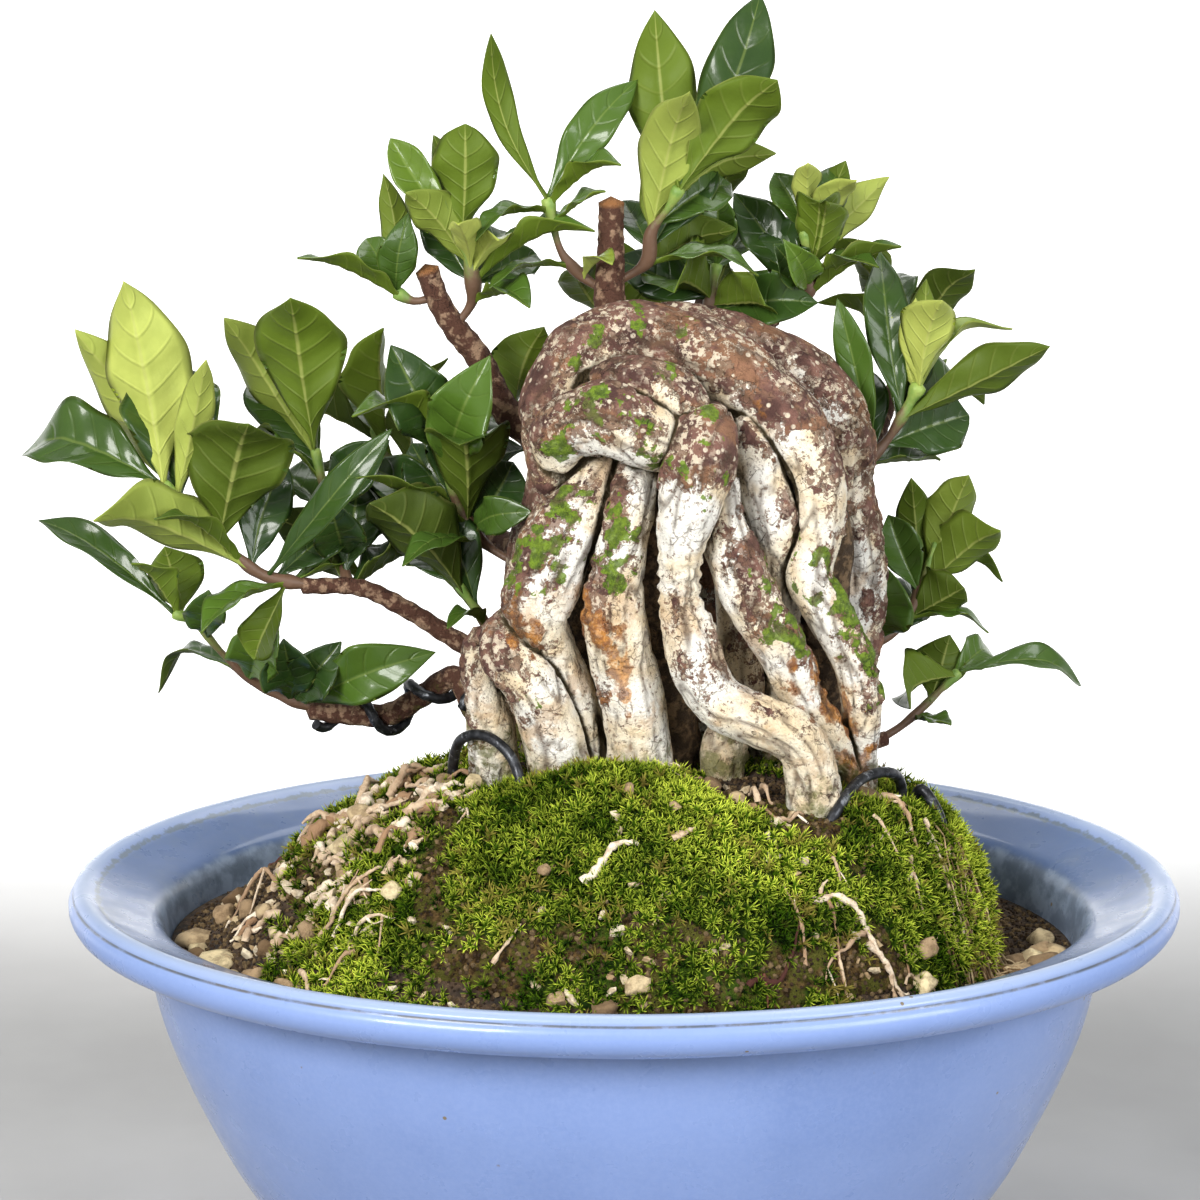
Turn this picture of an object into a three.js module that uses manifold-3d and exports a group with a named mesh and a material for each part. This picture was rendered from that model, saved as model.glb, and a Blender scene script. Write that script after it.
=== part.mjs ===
// Potted gardenia, grown as a bonsai over a lump of exposed roots, in an oval glazed bowl.
// Millimetres, +Z up. The origin is the middle of the pot's flat underside and -Y is the front.
import * as THREE from 'three';
import { mergeVertices } from 'three/addons/utils/BufferGeometryUtils.js';
import Module from 'manifold-3d';

const wasm = await Module();
wasm.setup();

// ---- driving dimensions ----

const gap = 0.3; // left between pieces that touch

const pot = {
  sides: 40,
  lengthOverWidth: 25, // half length minus half width, the same at every height above the foot
  footHalfLength: 62,
  footHalfWidth: 37,
  floor: 7,
  cavityFootHalfLength: 60,
  wallAtRim: 5.5,
  extraWallAtFloor: 3,
  // half length and height up the outside of the body, foot to lip
  body: [[62, 0], [66, 3], [75.5, 15.5], [87.8, 32.8], [100, 57.5], [106.6, 78], [108.5, 91.4]],
  // half length and height round the turned-down lip, the bead and the dished rim, down to the throat
  rim: [[117.5, 91.4], [123.4, 93.6], [125.3, 97.3], [124.3, 100.2], [122.2, 101.8], [119.8, 100.1],
    [112.5, 97.2], [105, 94.6], [103.4, 91.8]],
};

const drain = {
  spacing: 34, // each hole's distance from the middle
  holeRadius: 6.5,
  holeSides: 16,
  screenSide: 24,
  screenThickness: 1.2,
  meshOpening: 7,
  meshPitch: 10,
  openingsPerSide: 2,
};

const mound = {
  middle: [8, -2],
  peak: 128,
  edge: { right: 84, front: 91, left: 87.5, back: 87 }, // height of the soil at the pot's wall
  wallLevel: 89, // height at which the way to the wall is measured
  steepness: { right: 4.2, front: 2.9, left: 2.2, back: 2.6 },
  reach: { right: 0.84, front: 1, left: 0.95, back: 0.93 }, // share of the way to the wall
  roughness: 1.2,
};

const moss = {
  from: { right: 0.6, front: 0.2, left: 0.36, back: 0.56 },
  to: { right: 0.8, front: 0.97, left: 0.78, back: 0.85 },
  rings: 5,
  rim: 1.2,
  thickness: 5.2,
  cushion: 17, // spacing of the cushions
};

// grit in the soil's surface: x, y and radius
const grit = [[-91, -24, 4], [-93, -9, 3.6], [-87, -31, 3.4], [-86, 21, 3], [-88, 9, 3.2], [-97, 1, 3],
  [90, -10, 4.2], [96, 1, 3.6], [91, -21, 3.4], [95, 13, 3], [-30, 68, 3], [30, 69, 3]];

const wire = {
  radius: 1.2,
  sides: 6,
  step: 3.6,
  // the turns round the low bough
  boughPitch: 15,
  stepsPerTurn: 7,
  boughFrom: 0.3,
  boughTo: 0.97,
};

// the tie wires, from one buried end to the other
const tieWires = {
  wire_left: [[-38, -3, 116], [-38, -9, 131], [-35.5, -15.5, 138], [-30.5, -19.5, 139.5], [-25, -23.5, 136],
    [-22.5, -26.5, 129], [-22, -28, 117]],
  wire_right: [[41, -34, 106], [42, -34, 119], [46, -32, 126], [52, -21, 130], [58, -15, 130],
    [61.5, -9, 126], [62, -6, 112]],
  wire_right_end: [[64.5, -3, 108], [65, -5, 121], [66.5, -7.5, 124], [69, -9, 121], [71, -10, 116],
    [72, -11, 102]],
};

const wood = { rootSides: 7, boughSides: 5, ringStep: 12, knobbliness: 0.07 };

// Each root or bough: its route up or along, with the radius at each point.
const roots = {
  arch: [[-13, -6, 190, 5], [-15, -6, 200, 6.6], [-14, -4, 212, 7.6], [-8, 0, 221, 8], [4, 2, 223, 8.2],
    [17, 0, 220, 8.4], [28, -4, 213, 8], [37, -8, 204, 7.4], [42, -10, 193, 6.2], [42, -12, 182, 5.4],
    [40, -14, 174, 5.2], [45, -14, 165, 5], [50, -13, 155, 4.8], [52, -12, 146, 4.6],
    [52, -10, 134, 4.4], [52, -8, 116, 4.4]],
  backArch: [[-3, 16, 217, 8], [15, 18, 220, 8.6], [28, 18, 216, 8.8], [41, 18, 209, 8.6],
    [48, 20, 199, 7.8], [49, 22, 186, 7.2], [52, 24, 172, 7], [53, 26, 157, 6.8], [51, 26, 143, 6.6],
    [49, 24, 129, 6.6], [48, 22, 108, 6.6]],
  knotLower: [[-14, -12, 201, 6], [-12, -16, 207, 7], [-4, -19, 210, 8], [5, -20, 207, 7.6],
    [14, -18, 203, 6]],
  knotUpper: [[-5, -10, 214, 6], [3, -14, 216, 6.4], [10, -16, 214, 6.2], [15, -18, 209, 5.4]],
  centreRoot: [[17, -14, 208, 6], [16, -21, 205, 7.8], [15, -24, 198, 7.6], [13, -25, 189, 6.2],
    [12, -25, 180, 4.7], [12, -25, 170, 4.7], [14, -25, 163, 5.6], [16, -26, 155, 5.8],
    [21, -27, 149, 5.6], [30, -28, 145, 5.6], [38, -28, 140, 5.7], [41, -27, 131, 5.9], [40, -25, 114, 6.2]],
  frontLeftRoot: [[2, -12, 199, 4.6], [1, -19, 191, 5.6], [-1, -21, 182, 5.8], [-2, -21, 171, 6.2],
    [-1, -20, 158, 6.8], [2, -18, 146, 7.2], [3, -16, 132, 7.6], [3, -14, 119, 7.6]],
  leftRoot: [[-6, -10, 200, 6], [-8, -14, 191, 7.4], [-13, -17, 184, 8], [-17, -18, 175, 8],
    [-20, -18, 167, 7.4], [-17, -16, 158, 6], [-12, -14, 147, 5.8], [-8, -12, 132, 6], [-7, -11, 120, 6]],
  kneeFront: [[-21, -15, 166, 5.4], [-25, -18, 159, 6.6], [-20, -20, 151, 6.8], [-17, -19, 144, 7],
    [-14, -17, 132, 7.4], [-13, -16, 119, 7.4]],
  kneeSide: [[-22, -14, 162, 5.4], [-29, -14, 156, 6], [-30, -14, 148, 5.2], [-29, -12, 138, 5.4],
    [-29, -10, 128, 5.4], [-29, -9, 117, 5.4]],
  slimRoot: [[20, -16, 196, 4.6], [22, -19, 183, 5.4], [26, -20, 173, 5.8], [33, -20, 161, 5.6],
    [38, -18, 150, 4.8], [45, -15, 139, 3.8], [51, -11, 128, 3.4], [53, -9, 115, 3.4]],
  innerRoot: [[27, -6, 208, 6], [30, -10, 197, 6.4], [33, -11, 186, 5.8], [34, -9, 174, 5],
    [34, -4, 157, 4.6], [33, 0, 140, 4.8], [33, 4, 121, 5], [33, 6, 112, 5]],
  caveRoot: [[24, 0, 184, 5], [25, -4, 170, 5], [26, -6, 155, 4.8], [26, -8, 144, 4.6],
    [22, -9, 134, 4.8], [21, -9, 119, 5]],
  rearRootLeft: [[-12, 8, 204, 8], [-14, 10, 186, 8], [-18, 14, 169, 8], [-20, 16, 153, 7.6],
    [-17, 18, 138, 7.4], [-15, 20, 113, 7.4]],
  rearRootMiddle: [[6, 10, 212, 10], [8, 12, 200, 11], [12, 14, 181, 11], [15, 16, 157, 10.5],
    [17, 18, 138, 10], [17, 20, 112, 9]],
  rearRootRight: [[30, 14, 206, 9], [31, 17, 190, 9.5], [33, 20, 175, 9.5], [35, 23, 150, 9],
    [34, 26, 130, 8.6], [33, 28, 108, 8.4]],
};

const boughs = {
  middle: [[-17, 16, 147, 3.6], [-33, 12, 151, 2.4], [-48, 12, 160, 2], [-59, 10, 166, 1.8],
    [-72, 8, 167, 1.6]],
  low: [[-17, 17, 131, 4], [-33, 16, 135, 2.8], [-38, 19, 143, 2.6], [-46, 22, 138, 2.5],
    [-54, 24, 133, 2.5], [-63, 24, 133, 2.4], [-72, 24, 134, 2.2]],
  upperLeft: [[-13, 10, 197, 5], [-26, 16, 205, 3.2], [-33, 18, 218, 2.8], [-38, 18, 224, 2.7],
    [-42, 18, 231, 2.6], [-44, 18, 237, 2.5]],
  top: [[2, 6, 220, 6], [-3, 16, 229, 3.6], [-3, 18, 239, 3], [-3, 18, 252, 2.8]],
  right: [[26, 22, 218, 5], [31, 30, 223, 2.8], [34, 32, 224, 2]],
  back: [[17, 20, 218, 5], [18, 29, 222, 2.2]],
  middleRight: [[48, 20, 192, 4], [51, 28, 187, 2]],
  lowRight: [[52, 26, 151, 4], [56, 31, 147, 2]],
  footRight: [[50, 25, 126, 4], [56, 30, 124, 1.8], [61, 32, 125, 1.5]],
  rearLeft: [[-16, 18, 168, 4], [-34, 46, 172, 2.6], [-46, 56, 178, 2.2]],
  rearMiddle: [[12, 18, 196, 5], [10, 46, 192, 3], [8, 58, 194, 2.4]],
  rearRight: [[50, 24, 184, 4], [58, 44, 194, 2.6], [62, 54, 202, 2.2]],
  rearTop: [[18, 22, 220, 4], [19, 40, 226, 2.6], [20, 50, 232, 2.2]],
};

// Which way a leaf's upper side faces.
const facing = { up: [0, 0, 1], rising: [0, -0.7, 0.7], front: [0, -1, 0.35], back: [0, 1, 0.35] };

// Each leafy shoot: its stem's route, and its leaves, each given by its place along the stem from 0 to 1,
// its tip, its width and the way it faces.
const shoots = {
  leftTip: {
    stem: [[-70, 8, 167], [-81, 6, 170], [-88, 4, 176], [-96, 2, 184], [-102, 0, 192]],
    leaves: [[1, [-110, -2, 237], 19, 'back'], [0.96, [-119, 14, 224], 15, 'back'],
      [0.9, [-91, -8, 222], 8, 'back'], [0.88, [-90, 22, 211], 17, 'front'],
      [0.97, [-138, 20, 199], 17, 'rising'], [0.58, [-81, -14, 212], 24, 'back'],
      [0.6, [-116, -20, 189], 15, 'back'], [0.25, [-52, -6, 205], 13, 'front'],
      [0.12, [-93, -14, 161], 9, 'up'], [0.14, [-83, -6, 153], 10, 'back']],
  },
  leftMiddle: {
    stem: [[-62, 10, 166], [-65, 18, 175], [-68, 22, 186], [-70, 24, 195]],
    leaves: [[1, [-74, 14, 233], 21, 'back'], [0.97, [-90, 28, 225], 13, 'back'],
      [0.9, [-86, 42, 207], 12, 'front'], [0.8, [-84, 36, 198], 14, 'up'],
      [0.6, [-53, 14, 199], 12, 'front'], [0.25, [-66, 0, 189], 12, 'front'],
      [0.55, [-83, 34, 188], 13, 'up']],
  },
  innerLow: {
    stem: [[-23, 14, 150], [-30, 10, 156], [-33, 9, 161], [-37, 8, 167]],
    leaves: [[0.95, [-56, -8, 189], 19, 'back'], [1, [-45, 26, 172], 12, 'front']],
  },
  innerLeft: {
    stem: [[-22, 12, 170], [-31, 14, 175], [-35, 13, 180], [-39, 12, 189], [-40, 12, 197]],
    leaves: [[1, [-51, 6, 221], 15, 'front'], [0.97, [-58, -4, 212], 10, 'up'],
      [0.85, [-30, 0, 220], 13, 'front'], [0.5, [-36, -10, 208], 19, 'back'],
      [0.47, [-60, -8, 192], 11, 'up'], [0.35, [-49, -8, 178], 9, 'up'],
      [0.75, [-27, 28, 206], 13, 'front']],
  },
  behindLeft: {
    stem: [[-16, 14, 188], [-20, 23, 191], [-23, 28, 198], [-25, 30, 205]],
    leaves: [[1, [-19, 36, 221], 14, 'back'], [0.95, [-29, 38, 216], 12, 'back'],
      [0.6, [-32, 44, 190], 12, 'front']],
  },
  leftLow: {
    stem: [[-70, 24, 134], [-83, 22, 140], [-91, 19, 148], [-98, 16, 157], [-102, 15, 159]],
    leaves: [[1, [-135, 34, 177], 15, 'rising'], [0.42, [-80, 6, 160], 13, 'front'],
      [0.16, [-77, 12, 155], 13, 'front'], [0.14, [-66, 14, 151], 12, 'front'],
      [0.1, [-44, 10, 151], 13, 'front'], [0.75, [-93, 6, 167], 10, 'front'],
      [0.96, [-110, 6, 173], 11, 'up']],
  },
  crownLeft: {
    stem: [[-38, 18, 224], [-34, 17, 230], [-34, 15, 237], [-36, 14, 245]],
    leaves: [[1, [-35, 8, 270], 15, 'back'], [0.98, [-42, 24, 266], 10, 'back'],
      [1, [-52, 20, 266], 9, 'front'], [0.68, [-48, 6, 256], 10, 'back'],
      [0.62, [-27, 2, 248], 8, 'back'], [0.35, [-21, 2, 234], 9, 'up'], [0.55, [-7, 12, 248], 10, 'up'],
      [0.5, [-21, 34, 237], 11, 'front']],
  },
  crownFarLeft: {
    stem: [[-42, 18, 231], [-47, 18, 230], [-51, 18, 232]],
    leaves: [[1, [-48, 12, 250], 9, 'front'], [0.75, [-72, 8, 242], 10, 'up'],
      [0.95, [-58, 26, 243], 9, 'front']],
  },
  crownTop: {
    stem: [[-4, 18, 232], [-10, 19, 236], [-14, 18, 241], [-16, 17, 248], [-17, 17, 253]],
    leaves: [[1, [-29, 12, 291], 7, 'back'], [1, [3, 26, 279], 10, 'front'],
      [0.96, [-1, 4, 263], 9, 'up'], [0.4, [-30, 6, 235], 7, 'up'], [0.35, [-5, 32, 224], 12, 'back']],
  },
  crownRight: {
    stem: [[-2, 18, 234], [5, 17, 239], [6, 15, 246], [10, 13, 252], [12, 12, 256]],
    leaves: [[1, [7, 28, 293], 16, 'back'], [0.5, [14, 0, 281], 13, 'back'],
      [1, [30, 34, 295], 15, 'front'], [0.97, [33, 4, 282], 17, 'back'], [0.9, [31, 28, 263], 12, 'back'],
      [0.6, [25, 24, 257], 12, 'front'], [0.3, [30, 14, 239], 9, 'up']],
  },
  crownBack: {
    stem: [[18, 26, 221], [19, 31, 223], [20, 32, 229], [21, 33, 236]],
    leaves: [[1, [21, 30, 253], 9, 'front'], [0.6, [10, 16, 234], 16, 'back'],
      [0.55, [32, 16, 230], 16, 'back'], [0.45, [43, 26, 229], 13, 'front'],
      [1, [9, 46, 241], 12, 'front'], [0.95, [31, 48, 245], 12, 'front']],
  },
  rightTop: {
    stem: [[33, 32, 224], [41, 32, 229], [42, 32, 237], [41, 32, 244]],
    leaves: [[1, [41, 26, 261], 7, 'back'], [0.97, [34, 38, 256], 9, 'front'],
      [0.95, [49, 38, 259], 9, 'front'], [0.8, [61, 40, 255], 9, 'back'],
      [0.7, [43, 18, 256], 10, 'back'], [0.5, [56, 22, 240], 11, 'up'], [0.5, [33, 26, 242], 10, 'front'],
      [0.4, [25, 42, 251], 9, 'front']],
  },
  rightMiddle: {
    stem: [[50, 27, 187], [59, 29, 195], [63, 29, 201], [67, 28, 209]],
    leaves: [[0.7, [59, 42, 239], 14, 'front'], [0.3, [48, 30, 229], 11, 'front'],
      [1, [71, 18, 231], 12, 'back'], [0.95, [86, 38, 225], 7, 'up'], [0.7, [95, 14, 220], 12, 'back'],
      [0.4, [79, 42, 199], 15, 'front'], [0.8, [84, 48, 204], 11, 'up']],
  },
  rightLow: {
    stem: [[56, 30, 147], [64, 32, 152], [69, 34, 161], [72, 35, 171]],
    leaves: [[1, [78, 30, 188], 10, 'back'], [0.7, [85, 24, 179], 11, 'back'],
      [0.9, [70, 42, 184], 10, 'front'], [0.6, [78, 22, 160], 9, 'up'], [0.4, [85, 34, 153], 8, 'up'],
      [0.3, [58, 20, 166], 11, 'front']],
  },
  rightFoot: {
    stem: [[60, 32, 125], [65, 33, 128], [72, 35, 134], [78, 36, 140]],
    leaves: [[1, [109, 42, 138], 10, 'rising'], [0.97, [63, 20, 137], 12, 'back'],
      [0.9, [87, 50, 143], 9, 'front']],
  },
};

// The shoots at the back: the stem's route, and the number and length of the leaves set round it by rule.
const rearShoots = {
  rearLeft: { stem: [[-44, 55, 178], [-54, 62, 184], [-60, 66, 192]], leafCount: 5, leafLength: 32 },
  rearMiddle: { stem: [[8, 56, 194], [4, 68, 200], [4, 74, 208]], leafCount: 5, leafLength: 32 },
  rearRight: { stem: [[61, 53, 201], [66, 62, 212], [66, 66, 220]], leafCount: 5, leafLength: 30 },
  rearTop: { stem: [[20, 48, 232], [20, 56, 240], [22, 60, 250]], leafCount: 5, leafLength: 28 },
};

const stem = { radius: 1.2, tipRadius: 0.8, sides: 5, step: 8 };

const leaf = {
  // how far along the midrib, and the half width there as a share of the widest
  wideStations: [[0, 0.08], [0.2, 0.4], [0.5, 1], [0.8, 0.66]],
  slimStations: [[0, 0.1], [0.42, 1], [0.78, 0.66]],
  slimWidth: 11,
  ribThickness: 1.3,
  bow: 0.09, // height of the midrib's arch as a share of the length
  fold: 0.2, // rise of the margins as a share of the half width
  widthOverLength: 0.4, // of the leaves set by rule
  clearance: 0.4, // kept to everything on other shoots
  bends: [0, 3, -3, 6, -6, 10, -10, 14, -14], // how far the tip is bent aside to clear a neighbour
};

const materials = {
  glaze: { color: 0x8ca5dc, roughness: 0.22, metalness: 0 },
  plastic: { color: 0x2b2e2b, roughness: 0.7, metalness: 0 },
  soil: { color: 0x5a4030, roughness: 1, metalness: 0 },
  moss: { color: 0x4f7a1c, roughness: 1, metalness: 0 },
  bark: { color: 0xa58f7c, roughness: 0.9, metalness: 0 },
  leaf: { color: 0x4c7a34, roughness: 0.35, metalness: 0 },
  aluminium: { color: 0x33363a, roughness: 0.4, metalness: 0.8 },
};

// ---- shared helpers ----

// Repeatable draws between 0 and 1.
function draws(seed) {
  let state = seed;
  return () => {
    state = (state * 1664525 + 1013904223) % 4294967296;
    return state / 4294967296;
  };
}

// A smooth hill and hollow pattern between about -1 and 1.
function ripple(x, y, z) {
  const first = Math.sin(x * 1.7 + y * 0.9 + z * 0.4);
  const second = Math.sin(y * 2.1 - z * 1.3 + 1.1);
  const third = Math.sin(z * 1.9 + x * 1.1 + 2.3);
  return (first + second + third) / 3;
}

function point(list) {
  return new THREE.Vector3(list[0], list[1], list[2]);
}

// Blends four values given for the right, front, left and back by the direction seen from above.
function around(values, angle) {
  const x = Math.cos(angle);
  const y = Math.sin(angle);
  return x * x * (x > 0 ? values.right : values.left) + y * y * (y > 0 ? values.back : values.front);
}

function surface(corners, index) {
  const geometry = new THREE.BufferGeometry();
  geometry.setAttribute('position', new THREE.Float32BufferAttribute(corners.flatMap((p) => p.toArray()), 3));
  geometry.setIndex(index);
  return geometry;
}

// The band of faces between two rings of points, given by where each ring starts in the list of corners.
function band(low, high, sides) {
  const index = [];
  for (let side = 0; side < sides; side += 1) {
    const next = (side + 1) % sides;
    index.push(low + side, low + next, high + next, low + side, high + next, high + side);
  }
  return index;
}

// A closed body from a stack of rings with the same number of points, each end closed to a point.
function stackRings(rings, firstCap, lastCap) {
  const sides = rings[0].length;
  const corners = [...rings.flat(), firstCap, lastCap];
  const first = rings.length * sides;
  const top = first - sides;
  const index = rings.slice(1).flatMap((ring, below) => band(below * sides, (below + 1) * sides, sides));
  for (let side = 0; side < sides; side += 1) {
    const next = (side + 1) % sides;
    index.push(first, next, side, first + 1, top + side, top + next);
  }
  return surface(corners, index);
}

// A closed body from rings that lead round to the first one again.
function closeRings(rings) {
  const sides = rings[0].length;
  const index = rings.flatMap((ring, place) => (
    band(place * sides, ((place + 1) % rings.length) * sides, sides)));
  return surface(rings.flat(), index);
}

// The solid of a closed geometry, for joining and cutting.
function toSolid(geometry) {
  const bare = geometry.clone();
  bare.deleteAttribute('normal');
  bare.deleteAttribute('uv');
  const merged = mergeVertices(bare);
  const corners = merged.index.array;
  const faces = [];
  for (let at = 0; at < corners.length; at += 3) {
    const [a, b, c] = corners.subarray(at, at + 3);
    if (a !== b && b !== c && c !== a) {
      faces.push(a, b, c);
    }
  }
  const mesh = new wasm.Mesh({
    numProp: 3,
    vertProperties: new Float32Array(merged.attributes.position.array),
    triVerts: new Uint32Array(faces),
  });
  return new wasm.Manifold(mesh);
}

function toGeometry(solid) {
  const mesh = solid.getMesh();
  const geometry = new THREE.BufferGeometry();
  geometry.setAttribute('position', new THREE.BufferAttribute(mesh.vertProperties, 3));
  geometry.setIndex(new THREE.BufferAttribute(mesh.triVerts, 1));
  geometry.computeVertexNormals();
  return geometry;
}

function joinAll(solids) {
  return solids.reduce((whole, next) => whole.add(next));
}

// The biggest connected piece, without scraps that a cut leaves.
function biggest(solid) {
  return solid.decompose().reduce((best, next) => (next.volume() > best.volume() ? next : best));
}

// A round limb along a smooth curve, with rounded ends.
function limb(route, sides, step, knobbliness, extra) {
  const curve = new THREE.CatmullRomCurve3(route.map(point), false, 'centripetal');
  const count = Math.max(route.length - 2, Math.round(curve.getLength() / step));
  const frames = curve.computeFrenetFrames(count);
  const rings = [];
  for (let ring = 0; ring <= count; ring += 1) {
    const share = (ring / count) * (route.length - 1);
    const at = Math.min(Math.floor(share), route.length - 2);
    const radius = THREE.MathUtils.lerp(route[at][3], route[at + 1][3], share - at);
    const middle = curve.getPoint(ring / count);
    const direction = frames.tangents[ring];
    const ringPoints = [];
    for (let side = 0; side < sides; side += 1) {
      const turn = (side / sides) * 2 * Math.PI;
      const outward = new THREE.Vector3()
        .addScaledVector(frames.normals[ring], Math.cos(turn))
        .addScaledVector(frames.binormals[ring], Math.sin(turn));
      const place = middle.clone().addScaledVector(outward, radius);
      const bump = 1 + knobbliness * ripple(place.x / 5, place.y / 5, place.z / 5);
      ringPoints.push(middle.clone().addScaledVector(outward, radius * bump + extra));
    }
    const order = new THREE.Vector3().crossVectors(frames.normals[ring], frames.binormals[ring]);
    if (order.dot(direction) < 0) {
      ringPoints.reverse();
    }
    rings.push(ringPoints);
  }
  const endRise = 0.6;
  const last = route.length - 1;
  const start = curve.getPoint(0).addScaledVector(frames.tangents[0], -route[0][3] * endRise - extra);
  const finish = curve.getPoint(1).addScaledVector(frames.tangents[count], route[last][3] * endRise + extra);
  return toSolid(stackRings(rings, start, finish));
}

// ---- pot ----

function potHalfWidth(halfLength) {
  const foot = pot.footHalfWidth / pot.footHalfLength;
  return halfLength <= pot.footHalfLength ? halfLength * foot : halfLength - pot.lengthOverWidth;
}

// The inside of the wall from the floor up to the throat.
function wallInside() {
  const top = pot.rim[pot.rim.length - 1];
  const wall = pot.body
    .filter(([, height]) => height > 2 * pot.floor && height < top[1] - 1)
    .map(([half, height]) => [half - pot.wallAtRim - pot.extraWallAtFloor * (1 - height / top[1]), height]);
  return [[pot.cavityFootHalfLength, pot.floor], ...wall, top];
}

const inside = wallInside();

// The inside half length at a height.
function insideHalfLength(height) {
  const above = Math.max(1, inside.findIndex((level) => level[1] >= height));
  const [lowHalf, low] = inside[above - 1];
  const [highHalf, high] = inside[above];
  return THREE.MathUtils.mapLinear(height, low, high, lowHalf, highHalf);
}

function onOval(halfLength, angle, height) {
  return new THREE.Vector3(halfLength * Math.cos(angle), potHalfWidth(halfLength) * Math.sin(angle), height);
}

function drainMiddles() {
  return [-drain.spacing, drain.spacing];
}

function buildPot() {
  const profile = [[0, 0], ...pot.body, ...pot.rim, ...inside.slice(0, -1).reverse(), [0, pot.floor]];
  const outline = profile.map(([half, height]) => new THREE.Vector2(half, height));
  const round = new THREE.LatheGeometry(outline, pot.sides);
  round.rotateX(Math.PI / 2);
  const corners = round.attributes.position;
  for (let corner = 0; corner < corners.count; corner += 1) {
    const half = Math.hypot(corners.getX(corner), corners.getY(corner));
    if (half > 0) {
      corners.setY(corner, (corners.getY(corner) * potHalfWidth(half)) / half);
    }
  }
  return drainMiddles().reduce((body, x) => {
    const { holeRadius, holeSides } = drain;
    const hole = new THREE.CylinderGeometry(holeRadius, holeRadius, 4 * pot.floor, holeSides);
    hole.rotateX(Math.PI / 2).translate(x, 0, 0);
    return body.subtract(toSolid(hole));
  }, toSolid(round));
}

// A square plastic mesh that lies over a drain hole.
function buildScreen(x) {
  const thick = drain.screenThickness;
  const height = pot.floor + gap + thick / 2;
  const middle = (drain.openingsPerSide - 1) / 2;
  const openings = [];
  for (let row = 0; row < drain.openingsPerSide; row += 1) {
    for (let column = 0; column < drain.openingsPerSide; column += 1) {
      const opening = new THREE.BoxGeometry(drain.meshOpening, drain.meshOpening, 2 * thick);
      opening.translate(x + (column - middle) * drain.meshPitch, (row - middle) * drain.meshPitch, height);
      openings.push(toSolid(opening));
    }
  }
  const plate = new THREE.BoxGeometry(drain.screenSide, drain.screenSide, thick).translate(x, 0, height);
  return toSolid(plate).subtract(joinAll(openings));
}

// ---- soil and moss ----

const soilHalfLength = insideHalfLength(mound.wallLevel) - gap;
const soilHalfWidth = potHalfWidth(soilHalfLength);

// How far a place lies on the way from the mound's middle to the pot's wall, from 0 to 1.
function shareToWall(x, y) {
  const [middleX, middleY] = mound.middle;
  const runX = (x - middleX) / soilHalfLength;
  const runY = (y - middleY) / soilHalfWidth;
  const startX = middleX / soilHalfLength;
  const startY = middleY / soilHalfWidth;
  const a = runX * runX + runY * runY;
  const b = 2 * (startX * runX + startY * runY);
  const c = startX * startX + startY * startY - 1;
  return a === 0 ? 0 : (2 * a) / (-b + Math.sqrt(b * b - 4 * a * c));
}

function soilHeight(x, y) {
  const angle = Math.atan2(y - mound.middle[1], x - mound.middle[0]);
  const share = shareToWall(x, y);
  const edge = around(mound.edge, angle);
  const rise = Math.max(0, 1 - (share / around(mound.reach, angle)) ** around(mound.steepness, angle));
  const rough = mound.roughness * ripple(x / 6, y / 6, 0) * Math.min(1, 6 * (1 - share));
  return edge + (mound.peak - edge) * rise + rough;
}

const angles = Array.from({ length: pot.sides }, (_, side) => (side / pot.sides) * 2 * Math.PI);

// The place at an angle of the pot and a share of the way to the wall, seen from above.
function onMound(angle, share) {
  const wall = onOval(soilHalfLength, angle, 0);
  const [x, y] = mound.middle;
  return [THREE.MathUtils.lerp(x, wall.x, share), THREE.MathUtils.lerp(y, wall.y, share)];
}

// A place on the moss, from its inner margin at 0 to its outer one at 1.
function onMoss(angle, part) {
  const [wallX, wallY] = onMound(angle, 1);
  const direction = Math.atan2(wallY - mound.middle[1], wallX - mound.middle[0]);
  return onMound(angle, THREE.MathUtils.lerp(around(moss.from, direction), around(moss.to, direction), part));
}

function raisedTo([x, y], extra) {
  return new THREE.Vector3(x, y, soilHeight(x, y) + extra);
}

// The root ball, from the pot's floor to the top of the mound. Its top shares the moss's lines.
function buildMound() {
  const rings = inside.slice(0, -1).map(([half, height]) => {
    const level = height === pot.floor ? height + gap : height;
    return angles.map((angle) => onOval(half - gap, angle, level));
  });
  rings.push(angles.map((angle) => {
    const { z } = raisedTo(onMound(angle, 1), 0);
    return onOval(insideHalfLength(z) - gap, angle, z);
  }));
  for (let ring = moss.rings; ring >= 0; ring -= 1) {
    rings.push(angles.map((angle) => raisedTo(onMoss(angle, ring / moss.rings), 0)));
  }
  const bottom = new THREE.Vector3(0, 0, pot.floor + gap);
  return toSolid(stackRings(rings, bottom, raisedTo(mound.middle, 0)));
}

function buildGrit() {
  const draw = draws(31);
  return grit.map(([x, y, radius]) => {
    const stone = new THREE.IcosahedronGeometry(radius, 0);
    stone.scale(1, 0.85, 0.7).rotateZ(draw() * Math.PI).rotateX(draw() * 0.6);
    return toSolid(stone.translate(x, y, soilHeight(x, y) + 0.1 * radius));
  });
}

// The height of the nearest rounded cushion of moss, from 0 to 1.
function cushion(x, y) {
  const column = Math.floor(x / moss.cushion);
  const row = Math.floor(y / moss.cushion);
  let nearest = 1;
  for (let i = column - 1; i <= column + 1; i += 1) {
    for (let j = row - 1; j <= row + 1; j += 1) {
      const shiftX = 0.5 + 0.35 * Math.sin(i * 12.9 + j * 78.2);
      const shiftY = 0.5 + 0.35 * Math.sin(i * 39.3 + j * 11.1);
      const distance = Math.hypot(x / moss.cushion - i - shiftX, y / moss.cushion - j - shiftY);
      nearest = Math.min(nearest, distance);
    }
  }
  return Math.sqrt(1 - nearest * nearest);
}

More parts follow.
